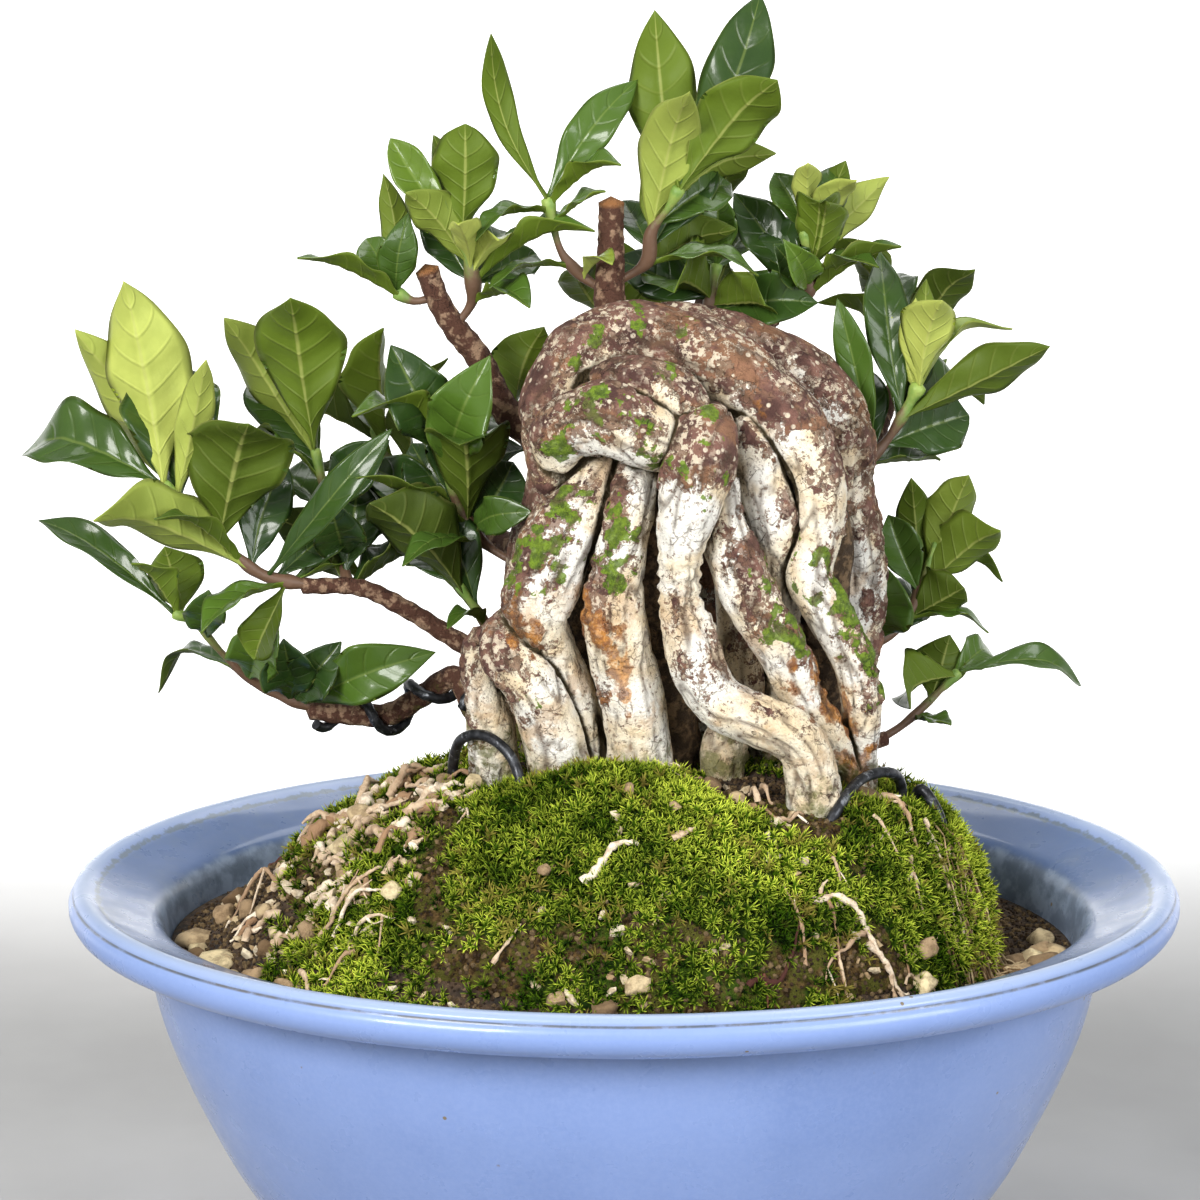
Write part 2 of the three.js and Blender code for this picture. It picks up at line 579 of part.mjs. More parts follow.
// A mat that lies on the soil, swollen into cushions.
function buildMossMat() {
  return toSolid(closeRings(angles.map((angle) => {
    const upper = [];
    const lower = [];
    for (let ring = 0; ring <= moss.rings; ring += 1) {
      const part = ring / moss.rings;
      const place = onMoss(angle, part);
      const swell = Math.sqrt(Math.sin(Math.PI * part)) * (0.3 + 0.7 * cushion(...place));
      upper.push(raisedTo(place, moss.rim + moss.thickness * swell));
      lower.unshift(raisedTo(place, gap));
    }
    return [...upper, ...lower];
  })));
}

// ---- wood and wires ----

function buildWood(extra) {
  const limbs = (routes, sides) => Object.values(routes)
    .map((route) => limb(route, sides, wood.ringStep, wood.knobbliness, extra));
  return biggest(joinAll([...limbs(roots, wood.rootSides), ...limbs(boughs, wood.boughSides)]));
}

const bark = buildWood(0);
const barkWithGap = buildWood(gap);

function buildWire(points, extra) {
  const path = new THREE.CatmullRomCurve3(points, false, 'centripetal');
  const section = new THREE.Shape();
  for (let side = 0; side < wire.sides; side += 1) {
    const turn = (side / wire.sides) * 2 * Math.PI;
    const radius = wire.radius + extra;
    section[side === 0 ? 'moveTo' : 'lineTo'](radius * Math.cos(turn), radius * Math.sin(turn));
  }
  const steps = Math.round(path.getLength() / wire.step);
  return toSolid(new THREE.ExtrudeGeometry(section, { steps, bevelEnabled: false, extrudePath: path }));
}

// The training wire's turns round the low bough.
function boughWirePoints() {
  const route = boughs.low;
  const curve = new THREE.CatmullRomCurve3(route.map(point), false, 'centripetal');
  const run = curve.getLength() * (wire.boughTo - wire.boughFrom);
  const count = Math.round((run / wire.boughPitch) * wire.stepsPerTurn);
  const points = [];
  for (let step = 0; step <= count; step += 1) {
    const share = THREE.MathUtils.lerp(wire.boughFrom, wire.boughTo, step / count);
    const at = Math.min(Math.floor(share * (route.length - 1)), route.length - 2);
    const radius = Math.max(route[at][3], route[at + 1][3]) * (1 + wood.knobbliness) + wire.radius + gap;
    const along = curve.getTangent(share);
    const sideways = new THREE.Vector3(0, 0, 1).cross(along).normalize();
    const upward = along.clone().cross(sideways);
    const turn = (step / wire.stepsPerTurn) * 2 * Math.PI;
    points.push(curve.getPoint(share)
      .addScaledVector(sideways, radius * Math.cos(turn))
      .addScaledVector(upward, radius * Math.sin(turn)));
  }
  return points;
}

// ---- leaves ----

// A pointed blade, folded along its midrib and arched. Both faces are split into triangles alike.
function buildLeaf(foot, tip, width, upperSide, firstStation, extra) {
  const chord = tip.clone().sub(foot);
  const along = chord.clone().normalize();
  const up = upperSide.clone().addScaledVector(along, -upperSide.dot(along)).normalize();
  const side = along.clone().cross(up);
  const corners = [];
  const index = [];
  const stations = (width > leaf.slimWidth ? leaf.wideStations : leaf.slimStations).slice(firstStation);
  stations.forEach(([share, halfShare], station) => {
    const half = (halfShare * width) / 2 + extra;
    const thick = (leaf.ribThickness / 2) * (1 - 0.4 * share) + extra;
    const arch = 4 * leaf.bow * chord.length() * share * (1 - share);
    const rib = foot.clone().addScaledVector(chord, share).addScaledVector(up, arch);
    const margin = rib.clone().addScaledVector(up, leaf.fold * half);
    corners.push(
      rib.clone().addScaledVector(up, thick), rib.clone().addScaledVector(up, -thick),
      margin.clone().addScaledVector(side, half), margin.clone().addScaledVector(side, -half));
    const [top, bottom, right, left] = [0, 1, 2, 3].map((corner) => station * 4 + corner);
    const [farTop, farBottom, farRight, farLeft] = [4, 5, 6, 7].map((corner) => station * 4 + corner);
    if (station < stations.length - 1) {
      index.push(top, right, farRight, top, farRight, farTop, top, farTop, farLeft, top, farLeft, left);
      index.push(bottom, farRight, right, bottom, farBottom, farRight);
      index.push(bottom, farLeft, farBottom, bottom, left, farLeft);
    } else {
      index.push(top, right, farTop, top, farTop, left, bottom, farTop, right, bottom, left, farTop);
    }
  });
  index.push(2, 0, 3, 2, 3, 1);
  return toSolid(surface([...corners, tip], index));
}

function touches(first, second) {
  const a = first.boundingBox();
  const b = second.boundingBox();
  const apart = [0, 1, 2].some((axis) => a.min[axis] > b.max[axis] || b.min[axis] > a.max[axis]);
  return !apart && !first.intersect(second).isEmpty();
}

// The leaf, with its tip bent aside as little as clears everything in the way, or nothing if none does.
// Its foot may touch the bark, which the whole spray is cut back from later.
function bendClear({ foot, tip, width, up }, inTheWay) {
  const across = tip.clone().sub(foot).cross(up).normalize();
  for (const bend of leaf.bends) {
    for (const aside of [up, across]) {
      const bentTip = tip.clone().addScaledVector(aside, bend);
      const blade = buildLeaf(foot, bentTip, width, up, 1, leaf.clearance);
      const whole = buildLeaf(foot, bentTip, width, up, 0, leaf.clearance);
      if (!touches(blade, bark) && !inTheWay.some((other) => touches(whole, other))) {
        return [buildLeaf(foot, bentTip, width, up, 0, 0)];
      }
    }
  }
  return [];
}

function placedLeaves(shoot, curve) {
  return shoot.leaves.map(([at, tip, width, side]) => (
    { foot: curve.getPoint(at), tip: point(tip), width, up: point(facing[side]) }));
}

// Leaves set round the stem by the golden angle.
function ruledLeaves(shoot, curve, seed) {
  const draw = draws(seed);
  const goldenAngle = Math.PI * (3 - Math.sqrt(5));
  return Array.from({ length: shoot.leafCount }, (_, place) => {
    const at = 0.3 + (0.7 * (place + 0.5)) / shoot.leafCount;
    const along = curve.getTangent(at);
    const sideways = new THREE.Vector3(0, 1, 0).cross(along).normalize();
    const outward = along.clone().cross(sideways);
    const turn = place * goldenAngle + draw();
    const spread = 0.55 + 0.5 * (1 - at);
    const direction = along.clone().multiplyScalar(1 - 0.5 * spread)
      .addScaledVector(sideways, spread * Math.cos(turn))
      .addScaledVector(outward, spread * Math.sin(turn))
      .normalize();
    const length = shoot.leafLength * (0.75 + 0.35 * draw());
    const foot = curve.getPoint(at);
    const tip = foot.clone().addScaledVector(direction, length);
    return { foot, tip, width: length * leaf.widthOverLength, up: along };
  });
}

function buildStem({ stem: places }, extra) {
  const last = places.length - 1;
  const { radius, tipRadius } = stem;
  const route = places.map((place, at) => [...place, THREE.MathUtils.lerp(radius, tipRadius, at / last)]);
  return limb(route, stem.sides, stem.step, 0, extra);
}

function buildSpray(shoot, seed, inTheWay) {
  const curve = new THREE.CatmullRomCurve3(shoot.stem.map(point), false, 'centripetal');
  const leaves = shoot.leaves ? placedLeaves(shoot, curve) : ruledLeaves(shoot, curve, seed);
  const blades = leaves.flatMap((blade) => bendClear(blade, inTheWay));
  return biggest(joinAll([buildStem(shoot, 0), ...blades]).subtract(barkWithGap));
}

// ---- the whole plant in its pot ----

const part = new THREE.Group();
part.name = 'potted_gardenia';

function addPiece(name, solid, finish) {
  const mesh = new THREE.Mesh(toGeometry(solid), new THREE.MeshStandardMaterial(materials[finish]));
  mesh.name = name;
  part.add(mesh);
}

const wires = Object.entries(tieWires).map(([name, route]) => ({ name, points: route.map(point) }));
const wiresWithGap = joinAll(wires.map(({ points }) => buildWire(points, gap)));
const boughWire = buildWire(boughWirePoints(), 0);

const screenRoom = joinAll(drainMiddles().map((x) => {
  const side = drain.screenSide + 2 * gap;
  const room = new THREE.BoxGeometry(side, side, 2 * drain.screenThickness + 2 * gap);
  return toSolid(room.translate(x, 0, pot.floor + gap));
}));

addPiece('pot', buildPot(), 'glaze');
drainMiddles().forEach((x) => {
  addPiece(x < 0 ? 'drain_screen_left' : 'drain_screen_right', buildScreen(x), 'plastic');
});
addPiece('soil', biggest(joinAll([buildMound(), ...buildGrit()])
  .subtract(barkWithGap).subtract(wiresWithGap).subtract(screenRoom)), 'soil');
addPiece('moss', biggest(buildMossMat().subtract(barkWithGap).subtract(wiresWithGap)), 'moss');
addPiece('wood', bark, 'bark');
wires.forEach(({ name, points }) => addPiece(name, buildWire(points, 0), 'aluminium'));
addPiece('wire_bough', boughWire, 'aluminium');

const allShoots = { ...shoots, ...rearShoots };
const stems = Object.values(allShoots).map((shoot) => buildStem(shoot, gap));
const sprays = [];
Object.entries(allShoots).forEach(([name, shoot], place) => {
  const otherStems = stems.filter((other, index) => index !== place);
  const spray = buildSpray(shoot, place + 1, [boughWire, ...otherStems, ...sprays]);
  sprays.push(spray);
  addPiece(`spray_${name}`, spray, 'leaf');
});

export default part;
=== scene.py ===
import math
import random

import bmesh
import bpy
import numpy as np
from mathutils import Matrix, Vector


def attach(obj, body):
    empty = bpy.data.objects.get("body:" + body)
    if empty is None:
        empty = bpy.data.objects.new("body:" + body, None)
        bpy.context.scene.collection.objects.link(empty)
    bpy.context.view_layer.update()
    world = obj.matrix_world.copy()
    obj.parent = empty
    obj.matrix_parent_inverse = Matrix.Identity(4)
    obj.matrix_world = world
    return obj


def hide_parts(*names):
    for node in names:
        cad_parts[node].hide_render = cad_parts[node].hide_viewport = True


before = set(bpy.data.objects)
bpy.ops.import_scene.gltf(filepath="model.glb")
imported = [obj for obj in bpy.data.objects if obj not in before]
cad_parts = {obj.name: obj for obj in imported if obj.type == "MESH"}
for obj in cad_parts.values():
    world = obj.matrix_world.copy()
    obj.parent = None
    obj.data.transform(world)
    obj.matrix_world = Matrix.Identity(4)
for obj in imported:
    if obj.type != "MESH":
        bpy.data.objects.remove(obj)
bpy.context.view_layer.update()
mm = 0.001
print("frame loaded")


# the camera's place, in millimetres
view = {"eye": (-5.42, -876.4, 370.2), "aim": (-5.42, 0.0, 165.6), "lens": 121.2, "sensor": 36.0, "sky": 0.5}

lamps = {
    # place and aim in metres, size in metres, power in watts, colour
    "keyLeft": ((-0.75, -1.2, 0.85), (0, 0, 0.15), 0.6, 31.0, (1.0, 0.985, 0.96)),
    "fillRight": ((1.0, -1.05, 0.6), (0, 0, 0.15), 0.8, 18, (0.97, 0.985, 1.0)),
    "topBack": ((0.1, 0.6, 1.35), (0, 0, 0.18), 0.9, 8.0, (1.0, 1.0, 0.98)),
}


def pointAt(thing, place, aim):
    thing.location = place
    thing.rotation_euler = (Vector(aim) - Vector(place)).to_track_quat("-Z", "Y").to_euler()


def newObject(name, data):
    thing = bpy.data.objects.new(name, data)
    bpy.context.scene.collection.objects.link(thing)
    return thing


def addCamera():
    data = bpy.data.cameras.new("camera")
    data.sensor_width = view["sensor"]
    data.lens = view["lens"]
    camera = newObject("camera", data)
    pointAt(camera, Vector(view["eye"]) * mm, Vector(view["aim"]) * mm)
    bpy.context.scene.camera = camera


def addLamps():
    for name, (place, aim, size, power, colour) in lamps.items():
        data = bpy.data.lights.new(name, "AREA")
        data.size = size
        data.energy = power
        data.color = colour
        pointAt(newObject(name, data), place, aim)
    world = bpy.data.worlds.new("studio")
    world.use_nodes = True
    sky = world.node_tree.nodes["Background"].inputs
    sky["Color"].default_value = (1, 1, 1, 1)
    sky["Strength"].default_value = view["sky"]
    bpy.context.scene.world = world


addCamera()
addLamps()
bpy.context.scene.view_settings.view_transform = "Standard"
print("camera and lamps placed")


# Smooth random values, the same on every run. All shapes are in millimetres.
def gradientNoise(points, seed):
    cell = np.floor(points).astype(np.int64)
    part = points - cell
    fade = part ** 3 * (part * (part * 6 - 15) + 10)
    total = np.zeros(len(points))
    for corner in np.ndindex(2, 2, 2):
        at = cell + np.array(corner)
        # a number of 32 bits that looks random, the same for each corner of the grid every time
        key = (at @ np.array([374761393, 668265263, 1103515245]) + seed * 144269) & 0xFFFFFFFF
        key = ((key ^ (key >> 13)) * 1274126177) & 0xFFFFFFFF
        key ^= key >> 16
        slope = np.stack([((key >> shift) & 1023) / 511.5 - 1 for shift in (0, 10, 20)], axis=1)
        weight = np.prod(np.where(np.array(corner, bool), fade, 1 - fade), axis=1)
        total += weight * np.einsum("ij,ij->i", slope, part - np.array(corner))
    return total


# Noise of several sizes, the largest given in millimetres, from about -1 to 1.
def roughNoise(points, size, octaves, seed):
    total = np.zeros(len(points))
    share = 1.0
    for octave in range(octaves):
        total += share * gradientNoise(np.asarray(points, float) / size, seed + 17 * octave)
        size /= 2.1
        share *= 0.5
    return total


def unit(vector):
    return vector / np.linalg.norm(vector)


def ringTurns(count):
    return np.arange(count) / count * 2 * math.pi


def asPoints(x, y, z):
    return np.stack([x, y, z], axis=-1).reshape(-1, 3)


def smoothStep(low, high, value):
    t = np.clip((value - low) / (high - low), 0, 1)
    return t * t * (3 - 2 * t)


# A smooth line through places of any number of columns, with points about a step apart.
def smoothRoute(route, step):
    places = np.array(route, float)
    first = 2 * places[0] - places[1]
    last = 2 * places[-1] - places[-2]
    places = np.vstack([first, places, last])
    result = []
    for at in range(1, len(places) - 2):
        a, b, c, d = places[at - 1:at + 3]
        ab, bc, cd = (max(1e-4, np.linalg.norm(q[:3] - p[:3])) ** 0.5 for p, q in ((a, b), (b, c), (c, d)))
        count = max(1, round(np.linalg.norm(c[:3] - b[:3]) / step))
        slopeB = ((b - a) / ab - (c - a) / (ab + bc) + (c - b) / bc) * bc
        slopeC = ((c - b) / bc - (d - b) / (bc + cd) + (d - c) / cd) * bc
        for piece in range(count):
            t = piece / count
            result.append((2 * t ** 3 - 3 * t ** 2 + 1) * b + (t ** 3 - 2 * t ** 2 + t) * slopeB
                          + (3 * t ** 2 - 2 * t ** 3) * c + (t ** 3 - t ** 2) * slopeC)
    result.append(places[-2])
    return np.array(result)


# Directions across a line that turn as little as they can.
def acrossLine(line):
    along = np.gradient(line, axis=0)
    along /= np.linalg.norm(along, axis=1)[:, None]
    start = np.array([1.0, 0, 0]) if abs(along[0][0]) < 0.8 else np.array([0, 0, 1.0])
    normals = []
    for direction in along:
        start = unit(start - direction * np.dot(start, direction))
        normals.append(start)
    normals = np.array(normals)
    return along, normals, np.cross(along, normals)


# Points and faces of a closed round tube along places with a radius in the fourth column.
def tube(line, sides):
    along, normals, others = acrossLine(line[:, :3])
    turns = ringTurns(sides)
    outward = (normals[:, None, :] * np.cos(turns)[None, :, None]
               + others[:, None, :] * np.sin(turns)[None, :, None])
    rings = line[:, None, :3] + line[:, None, 3:4] * outward
    start = line[0, :3] - along[0] * line[0, 3] * 0.5
    end = line[-1, :3] + along[-1] * line[-1, 3] * 0.5
    points = np.vstack([rings.reshape(-1, 3), start, end])
    return points, closedRings(len(line), sides)


# Faces between rings of points that follow each other.
def ringFaces(rings, sides):
    return [(ring * sides + side, ring * sides + (side + 1) % sides,
             (ring + 1) * sides + (side + 1) % sides, (ring + 1) * sides + side)
            for ring in range(rings - 1) for side in range(sides)]


# The same, closed at both ends by the two points that follow the rings.
def closedRings(rings, sides):
    faces = ringFaces(rings, sides)
    ends, last = rings * sides, (rings - 1) * sides
    for side in range(sides):
        after = (side + 1) % sides
        faces += [(ends, after, side), (ends + 1, last + side, last + after)]
    return faces


# Joins several (points, faces) into one.
def joined(shapes):
    points = []
    faces = []
    shift = 0
    for shapePoints, shapeFaces in shapes:
        points.append(np.asarray(shapePoints, float))
        faces.extend(tuple(corner + shift for corner in face) for face in shapeFaces)
        shift += len(shapePoints)
    return np.vstack(points), faces


def meshObject(name, points, faces, smooth=True):
    mesh = bpy.data.meshes.new(name)
    mesh.from_pydata((np.asarray(points, float) * mm).tolist(), [], faces)
    mesh.polygons.foreach_set("use_smooth", [smooth] * len(mesh.polygons))
    mesh.validate()
    return newObject(name, mesh)


def setValues(thing, **fields):
    attributes = thing.data.attributes
    for name, values in fields.items():
        attribute = attributes.get(name) or attributes.new(name, "FLOAT", "POINT")
        attribute.data.foreach_set("value", np.asarray(values, np.float32))


def readVectors(thing, name):
    values = np.zeros(len(thing.data.vertices) * 3)
    thing.data.vertices.foreach_get(name, values)
    return values.reshape(-1, 3)


def placesOf(thing):
    return readVectors(thing, "co") / mm


def movePlaces(thing, places):
    thing.data.vertices.foreach_set("co", (places * mm).ravel())
    thing.data.update()


def normalsOf(thing):
    return readVectors(thing, "normal")


# Turns an object with modifiers into a plain mesh without them.
def settle(thing):
    bpy.context.view_layer.update()
    graph = bpy.context.evaluated_depsgraph_get()
    mesh = bpy.data.meshes.new_from_object(thing.evaluated_get(graph), preserve_all_data_layers=True,
                                           depsgraph=graph)
    thing.modifiers.clear()
    old = thing.data
    thing.data = mesh
    mesh.name = thing.name
    bpy.data.meshes.remove(old)
    return thing


def facesOutward(thing):
    work = bmesh.new()
    work.from_mesh(thing.data)
    bmesh.ops.remove_doubles(work, verts=work.verts, dist=1e-6)
    bmesh.ops.recalc_face_normals(work, faces=work.faces)
    work.to_mesh(thing.data)
    work.free()
    return thing


def asPiece(thing, materials, slotName, *nodes):
    # clearing also forgets which face has which material
    if len(materials) == 1:
        thing.data.materials.clear()
    for material in materials:
        thing.data.materials.append(material)
    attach(thing, "root")
    if nodes:
        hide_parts(*nodes)
    return thing


# Sets a socket to a value, or links it to what another node puts out.
def feed(tree, socket, value):
    if isinstance(value, Field):
        value = value.socket
    if isinstance(value, bpy.types.NodeSocket):
        tree.links.new(value, socket)
    elif isinstance(value, tuple) and len(value) == 3 and socket.type == "RGBA":
        socket.default_value = (*value, 1)
    else:
        socket.default_value = value


# What a node puts out. Adding to it, or multiplying it, adds a Math node to its tree.
class Field:
    def __init__(self, tree, socket):
        self.tree, self.socket = tree, socket

    def math(self, operation, first, second=0.0):
        node = Nodes(self.tree).add("ShaderNodeMath", {0: first, 1: second}, operation=operation)
        return Field(self.tree, node.outputs[0])

    def __add__(self, other):
        return self.math("ADD", self, other)

    def __sub__(self, other):
        return self.math("SUBTRACT", self, other)

    def __rsub__(self, other):
        return self.math("SUBTRACT", other, self)

    def __mul__(self, other):
        return self.math("MULTIPLY", self, other)


# The nodes of a tree, with a short way to add each kind. Inputs are given by name or number.
class Nodes:
    def __init__(self, tree):
        self.tree = tree

    def add(self, kind, inputs, **settings):
        node = self.tree.nodes.new(kind)
        for key, value in settings.items():
            setattr(node, key, value)
        for key, value in inputs.items():
            feed(self.tree, node.inputs[key], value)
        return node

    def out(self, kind, inputs, key=0, **settings):
        return Field(self.tree, self.add(kind, inputs, **settings).outputs[key])

    def mix(self, factor, first, second):
        return self.out("ShaderNodeMix", {0: factor, 6: first, 7: second}, 2, data_type="RGBA")

    def between(self, value, low, high, toLow=0.0, toHigh=1.0):
        return self.out("ShaderNodeMapRange", {
            "Value": value, "From Min": low, "From Max": high, "To Min": toLow, "To Max": toHigh,
        }, interpolation_type="SMOOTHSTEP")


# A material's nodes, and the colour that is built up in layers.
class Paint(Nodes):
    def __init__(self, name, **values):
        self.material = bpy.data.materials.new(name)
        self.material.use_nodes = True
        super().__init__(self.material.node_tree)
        self.shader = self.tree.nodes["Principled BSDF"]
        self.place = self.out("ShaderNodeTexCoord", {}, "Object")
        self.colour = None
        for key, value in values.items():
            self.give(key.replace("_", " "), value)

    def give(self, socket, value):
        feed(self.tree, self.shader.inputs[socket], value)

    def attribute(self, name):
        return self.out("ShaderNodeAttribute", {}, "Fac", attribute_name=name)

    def noise(self, scale, detail=4.0, roughness=0.55):
        return self.out("ShaderNodeTexNoise", {
            "Vector": self.place, "Scale": scale, "Detail": detail, "Roughness": roughness}, "Fac")

    # noise with its contrast raised, from 0 or the first of `to` at low to 1 or the second at high
    def clouds(self, scale, detail, low, high, roughness=0.55, to=(0.0, 1.0)):
        return self.between(self.noise(scale, detail, roughness), low, high, *to)

    def cells(self, scale, place=None, **settings):
        return self.out("ShaderNodeTexVoronoi", {"Vector": place or self.place, "Scale": scale}, "Distance",
                        **settings)

    def layer(self, mask, tone):
        self.colour = self.mix(mask, self.colour, tone)

    def bump(self, height, strength, distance):
        inputs = {"Height": height, "Strength": strength, "Distance": distance}
        before = self.shader.inputs["Normal"].links
        if before:
            inputs["Normal"] = before[0].from_socket
        self.give("Normal", self.out("ShaderNodeBump", inputs))

    def group(self, group, **inputs):
        node = self.tree.nodes.new("ShaderNodeGroup")
        node.node_tree = group
        for key, value in inputs.items():
            feed(self.tree, node.inputs[key], value)
        return [Field(self.tree, socket) for socket in node.outputs]

    def patches(self, field, size, raggedness=1.0, softness=0.04, flakes=0.0):
        return self.group(patchGroup, Vector=self.place, Field=field, Size=size, Raggedness=raggedness,
                          Softness=softness, Flakes=flakes)

    def finish(self):
        self.give("Base Color", self.colour)
        return self.material


# A new tree with named inputs and outputs: its nodes, what comes in by name, and its end.
def newTree(name, kind, inputs, outputs):
    tree = bpy.data.node_groups.new(name, kind)
    for direction, sockets in (("INPUT", inputs), ("OUTPUT", outputs)):
        for socket, socketKind in sockets.items():
            tree.interface.new_socket(socket, in_out=direction, socket_type="NodeSocket" + socketKind)
    nodes = Nodes(tree)
    given = nodes.add("NodeGroupInput", {}).outputs
    return nodes, {socket: Field(tree, given[socket]) for socket in inputs}, nodes.add("NodeGroupOutput", {})


# A group that gives patches with ragged edges where a field is high, and its grain.
def makePatchGroup():
    nodes, given, end = newTree("raggedPatches", "ShaderNodeTree", {
        "Vector": "Vector", "Field": "Float", "Size": "Float", "Raggedness": "Float", "Softness": "Float",
        "Flakes": "Float"}, {"Mask": "Float", "Grain": "Float"})
    size, softness = given["Size"], given["Softness"]
    scale = size.math("DIVIDE", 1.0, size)
    clouds = nodes.add("ShaderNodeTexNoise", {
        "Vector": given["Vector"], "Scale": scale, "Detail": 5.0, "Roughness": 0.62}).outputs
    grain = Field(nodes.tree, clouds["Fac"])
    # whole flakes stay or break off together, which gives angular edges
    bent = nodes.out("ShaderNodeVectorMath", {0: clouds["Color"], 1: size, 2: given["Vector"]},
                     operation="MULTIPLY_ADD")
    cells = nodes.out("ShaderNodeTexVoronoi", {"Vector": bent, "Scale": scale * 0.7}, "Color")
    jump = nodes.out("ShaderNodeSeparateColor", {"Color": cells}) - 0.5
    swing = (grain - 0.5) * given["Raggedness"] + jump * given["Flakes"]
    mask = nodes.between(given["Field"] + swing, 0.5 - softness, softness + 0.5)
    feed(nodes.tree, end.inputs["Mask"], mask)
    feed(nodes.tree, end.inputs["Grain"], grain)
    return nodes.tree


patchGroup = makePatchGroup()


# the floor and the wall behind, in millimetres
studio = {"front": -7000, "bend": 700, "radius": 500, "arcRows": 24, "top": 2200, "halfWidth": 7000,
          "grey": 0.36, "wall": (0.9, 0.9, 0.9), "glow": 0.55}


# A floor that bends up into a wall behind the object, both one sheet.
def addFloor():
    bend, radius = studio["bend"], studio["radius"]
    arc = [(bend + radius * math.sin(turn), radius * (1 - math.cos(turn)))
           for turn in np.linspace(0, math.pi / 2, studio["arcRows"])]
    rows = [(studio["front"], 0), *arc, (bend + radius, studio["top"])]
    points = [(side * studio["halfWidth"], y, z) for y, z in rows for side in (-1, 1)]
    floor = meshObject("floor", points, [(2 * row, 2 * row + 1, 2 * row + 3, 2 * row + 2)
                                         for row in range(len(rows) - 1)])
    paint = Paint("paleFloor", Roughness=0.9, Emission_Strength=studio["glow"])
    x, y, z = paint.add("ShaderNodeSeparateXYZ", {"Vector": paint.place}).outputs
    # the wall glows bright behind the object and lights the scene though it is no lamp; it is grey again high
    # on the wall, which the glaze and the leaves mirror
    far = paint.between(y, 0.16, 0.55) * paint.between(z, 0.62, 0.36)
    low, high = ((studio["grey"] + step,) * 3 for step in (-0.03, 0.03))
    paint.colour = paint.mix(paint.clouds(9, 4, 0.3, 0.7), low, high)
    paint.layer(far, studio["wall"])
    paint.give("Emission Color", paint.mix(far, (0, 0, 0), (1, 1, 1)))
    floor.data.materials.append(paint.finish())


addFloor()


# the pot
bowl = {
    "turns": 224,
    "lengthOverWidth": 25,
    "footHalfLength": 62,
    "footHalfWidth": 37,
    "step": 1.3,
    # half length and height, from the middle of the underside, up the outside, over the lip and down inside
    "outline": [
        [(0.01, 1.2), (20, 1.2), (40, 1.2), (52, 1.2)],
        [(52, 1.2), (54.5, 0.2), (57, 0), (60.5, 0), (62.5, 0.7), (64, 2), (66.3, 4), (75.5, 15.5),
         (87.8, 32.8), (95, 46.5), (100, 57.5), (104, 68), (106.6, 78), (107.9, 86), (108.6, 90),
         (110.2, 91.2)],
        [(110.2, 91.2), (114, 91.1), (118, 91.2), (121.6, 92.2), (124.1, 94.2), (125.2, 96.6), (125.2, 98.2),
         (124.6, 99.3), (123.9, 99.75)],
        [(123.9, 99.75), (124.15, 100.2), (123.8, 101), (122.7, 101.7), (121.5, 101.75), (120.2, 101.1),
         (119.2, 100.35), (118.6, 100.05)],
        [(118.6, 100.05), (117.6, 99.6), (114, 98.2), (110, 96.9), (107.2, 95.9), (105.4, 94.6),
         (104.3, 92.9), (103.2, 89), (101, 78), (95.5, 62), (87, 45), (77, 28), (68, 14), (62, 8.6), (57, 7)],
        [(57, 7), (40, 7), (20, 7), (0.01, 7)],
    ],
    "outerGroove": (124.0, 99.75),
    "innerLine": (118.7, 100.1),
    "bead": (122.0, 101.6),
    "underRoll": (110.2, 91.2),
    "drainSpacing": 34,
    "drainRadius": 6.5,
    "drainFromTo": (-5, 14),
    "drainSides": 40,
    "halvings": 24,
}


def halfWidth(halfLength):
    foot = bowl["footHalfWidth"] / bowl["footHalfLength"]
    return np.where(halfLength <= bowl["footHalfLength"], halfLength * foot,
                    halfLength - bowl["lengthOverWidth"])


